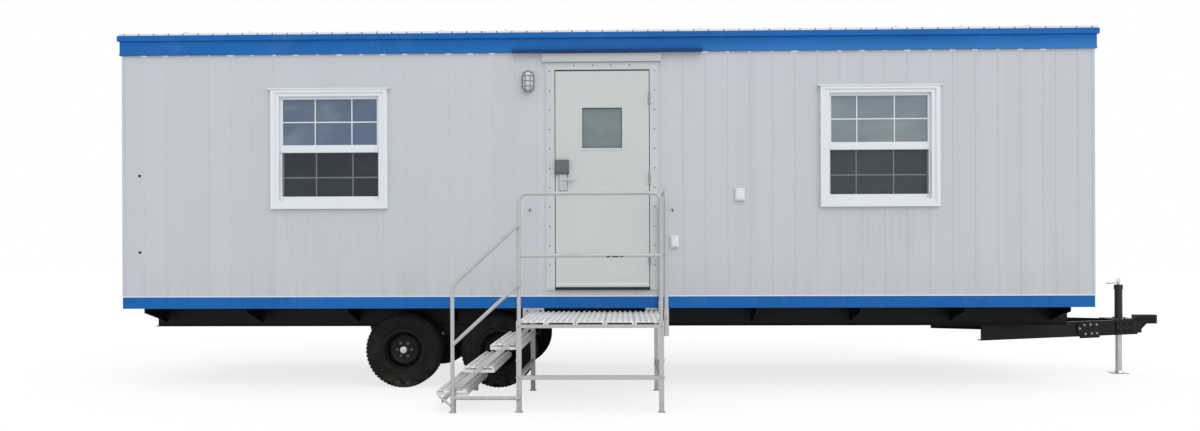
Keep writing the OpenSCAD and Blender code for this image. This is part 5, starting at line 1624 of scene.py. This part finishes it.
class CABIN_OT_stage(bpy.types.Operator):
    """Sets the floor, the light and the camera"""
    bl_idname = "cabin.stage"
    bl_label = "Stage"

    eye = (0.1897, -10.4601, 1.3129)
    yaw, roll = 1.361, -0.189
    lens, sensor, shift, sight = 29.454, 36.0, 0.02893, 300.0
    lamp_power, lamp_tip, lamp_turn, lamp_spread = 0.84, 48.0, 32.0, 50.0
    floor_half, floor_grey, floor_glow, floor_share = 60.0, 0.72, 1.16, 0.66
    sky_level = 0.89

    def put(self, name, data):
        """A new object in the scene."""
        made = bpy.data.objects.new(name, data)
        bpy.context.scene.collection.objects.link(made)
        return made

    def floor(self):
        """A flat floor."""
        a = self.floor_half
        ground = bpy.data.meshes.new("studio_floor")
        ground.from_pydata([(-a, -a, 0), (a, -a, 0), (a, a, 0), (-a, a, 0)], [], [(0, 1, 2, 3)])
        ground.materials.append(self.floor_finish())
        self.put("studio_floor", ground)

    def floor_finish(self):
        """A pale floor that the camera sees almost white, with part of the shadow left in it."""
        made = bpy.data.materials.new("studio_floor")
        made.use_nodes = True
        tree = made.node_tree
        tree.nodes.clear()
        path = add_node(tree, "ShaderNodeLightPath", {}, {})
        pale = add_node(tree, "ShaderNodeBsdfDiffuse", {}, {"Color": (*(self.floor_grey,) * 3, 1.0)})
        glow = add_node(tree, "ShaderNodeEmission", {}, {"Strength": self.floor_glow})
        share = add_node(tree, "ShaderNodeMath", {"operation": "MULTIPLY"},
                         [path.outputs["Is Camera Ray"], self.floor_share])
        mix = add_node(tree, "ShaderNodeMixShader", {},
                       [share.outputs[0], pale.outputs[0], glow.outputs[0]])
        add_node(tree, "ShaderNodeOutputMaterial", {}, {"Surface": mix.outputs[0]})
        return made

    def world(self, scene):
        """Even studio light; camera, mirror and glass rays see plain white."""
        scene.world = bpy.data.worlds.new("studio")
        scene.world.use_nodes = True
        tree = scene.world.node_tree
        path = add_node(tree, "ShaderNodeLightPath", {}, {})
        seen = path.outputs["Is Camera Ray"]
        for name in ("Is Glossy Ray", "Is Transmission Ray"):
            both = add_node(tree, "ShaderNodeMath", {"operation": "MAXIMUM"},
                            [seen, path.outputs[name]])
            seen = both.outputs[0]
        level = add_node(tree, "ShaderNodeMapRange", {},
                         {"Value": seen, "To Min": self.sky_level, "To Max": 1.0})
        back = tree.nodes["Background"]
        back.inputs["Color"].default_value = (1.0, 1.0, 1.0, 1.0)
        tree.links.new(level.outputs[0], back.inputs["Strength"])

    def lamp(self):
        """A broad lamp far away, in front of the door side, above it and to its right."""
        data = bpy.data.lights.new("key_light", "SUN")
        data.energy, data.angle = self.lamp_power, math.radians(self.lamp_spread)
        lamp = self.put("key_light", data)
        lamp.rotation_euler = (math.radians(self.lamp_tip), 0.0, math.radians(self.lamp_turn))

    def camera(self, scene):
        """The camera, where the photo was taken from."""
        data = bpy.data.cameras.new("photo_camera")
        data.lens, data.sensor_width, data.sensor_fit = self.lens, self.sensor, "HORIZONTAL"
        data.shift_y, data.clip_end = self.shift, self.sight
        camera = self.put("photo_camera", data)
        camera.matrix_world = (Matrix.Translation(spot(*self.eye))
                               @ Matrix.Rotation(math.radians(self.yaw), 4, "Z")
                               @ Matrix.Rotation(math.radians(-self.roll), 4, "Y")
                               @ Matrix.Rotation(math.pi / 2, 4, "X"))
        scene.camera = camera

    def execute(self, context):
        scene = context.scene
        scene.view_settings.view_transform = "Standard"
        self.floor()
        self.world(scene)
        self.lamp()
        self.camera(scene)
        return {"FINISHED"}


ORDER = (CABIN_OT_finishes, CABIN_OT_siding, CABIN_OT_sealant, CABIN_OT_roof, CABIN_OT_door,
         CABIN_OT_windows, CABIN_OT_fittings, CABIN_OT_wheels, CABIN_OT_running_gear,
         CABIN_OT_drawbar, CABIN_OT_landing, CABIN_OT_stage)


class CABIN_PT_panel(bpy.types.Panel):
    """The cabin's sizes, colours and pieces"""
    bl_idname = "CABIN_PT_panel"
    bl_label = "Site cabin"
    bl_space_type = "VIEW_3D"
    bl_region_type = "UI"
    bl_category = "Site cabin"

    def draw(self, context):
        for group in (context.scene.cabin_sizes, context.scene.cabin_colours):
            column = self.layout.column()
            for key in group.__annotations__:
                column.prop(group, key)
        for operator in ORDER:
            self.layout.operator(operator.bl_idname)


CLASSES = (CabinSizes, CabinColours, *ORDER, CABIN_PT_panel)


def register():
    for cls in CLASSES:
        bpy.utils.register_class(cls)
    bpy.types.Scene.cabin_sizes = bpy.props.PointerProperty(type=CabinSizes)
    bpy.types.Scene.cabin_colours = bpy.props.PointerProperty(type=CabinColours)


def unregister():
    del bpy.types.Scene.cabin_sizes, bpy.types.Scene.cabin_colours
    for cls in reversed(CLASSES):
        bpy.utils.unregister_class(cls)


def main():
    """Runs the operators in order."""
    register()
    for operator in ORDER:
        group, name = operator.bl_idname.split(".")
        getattr(getattr(bpy.ops, group), name)()


if __name__ == "__main__":
    main()
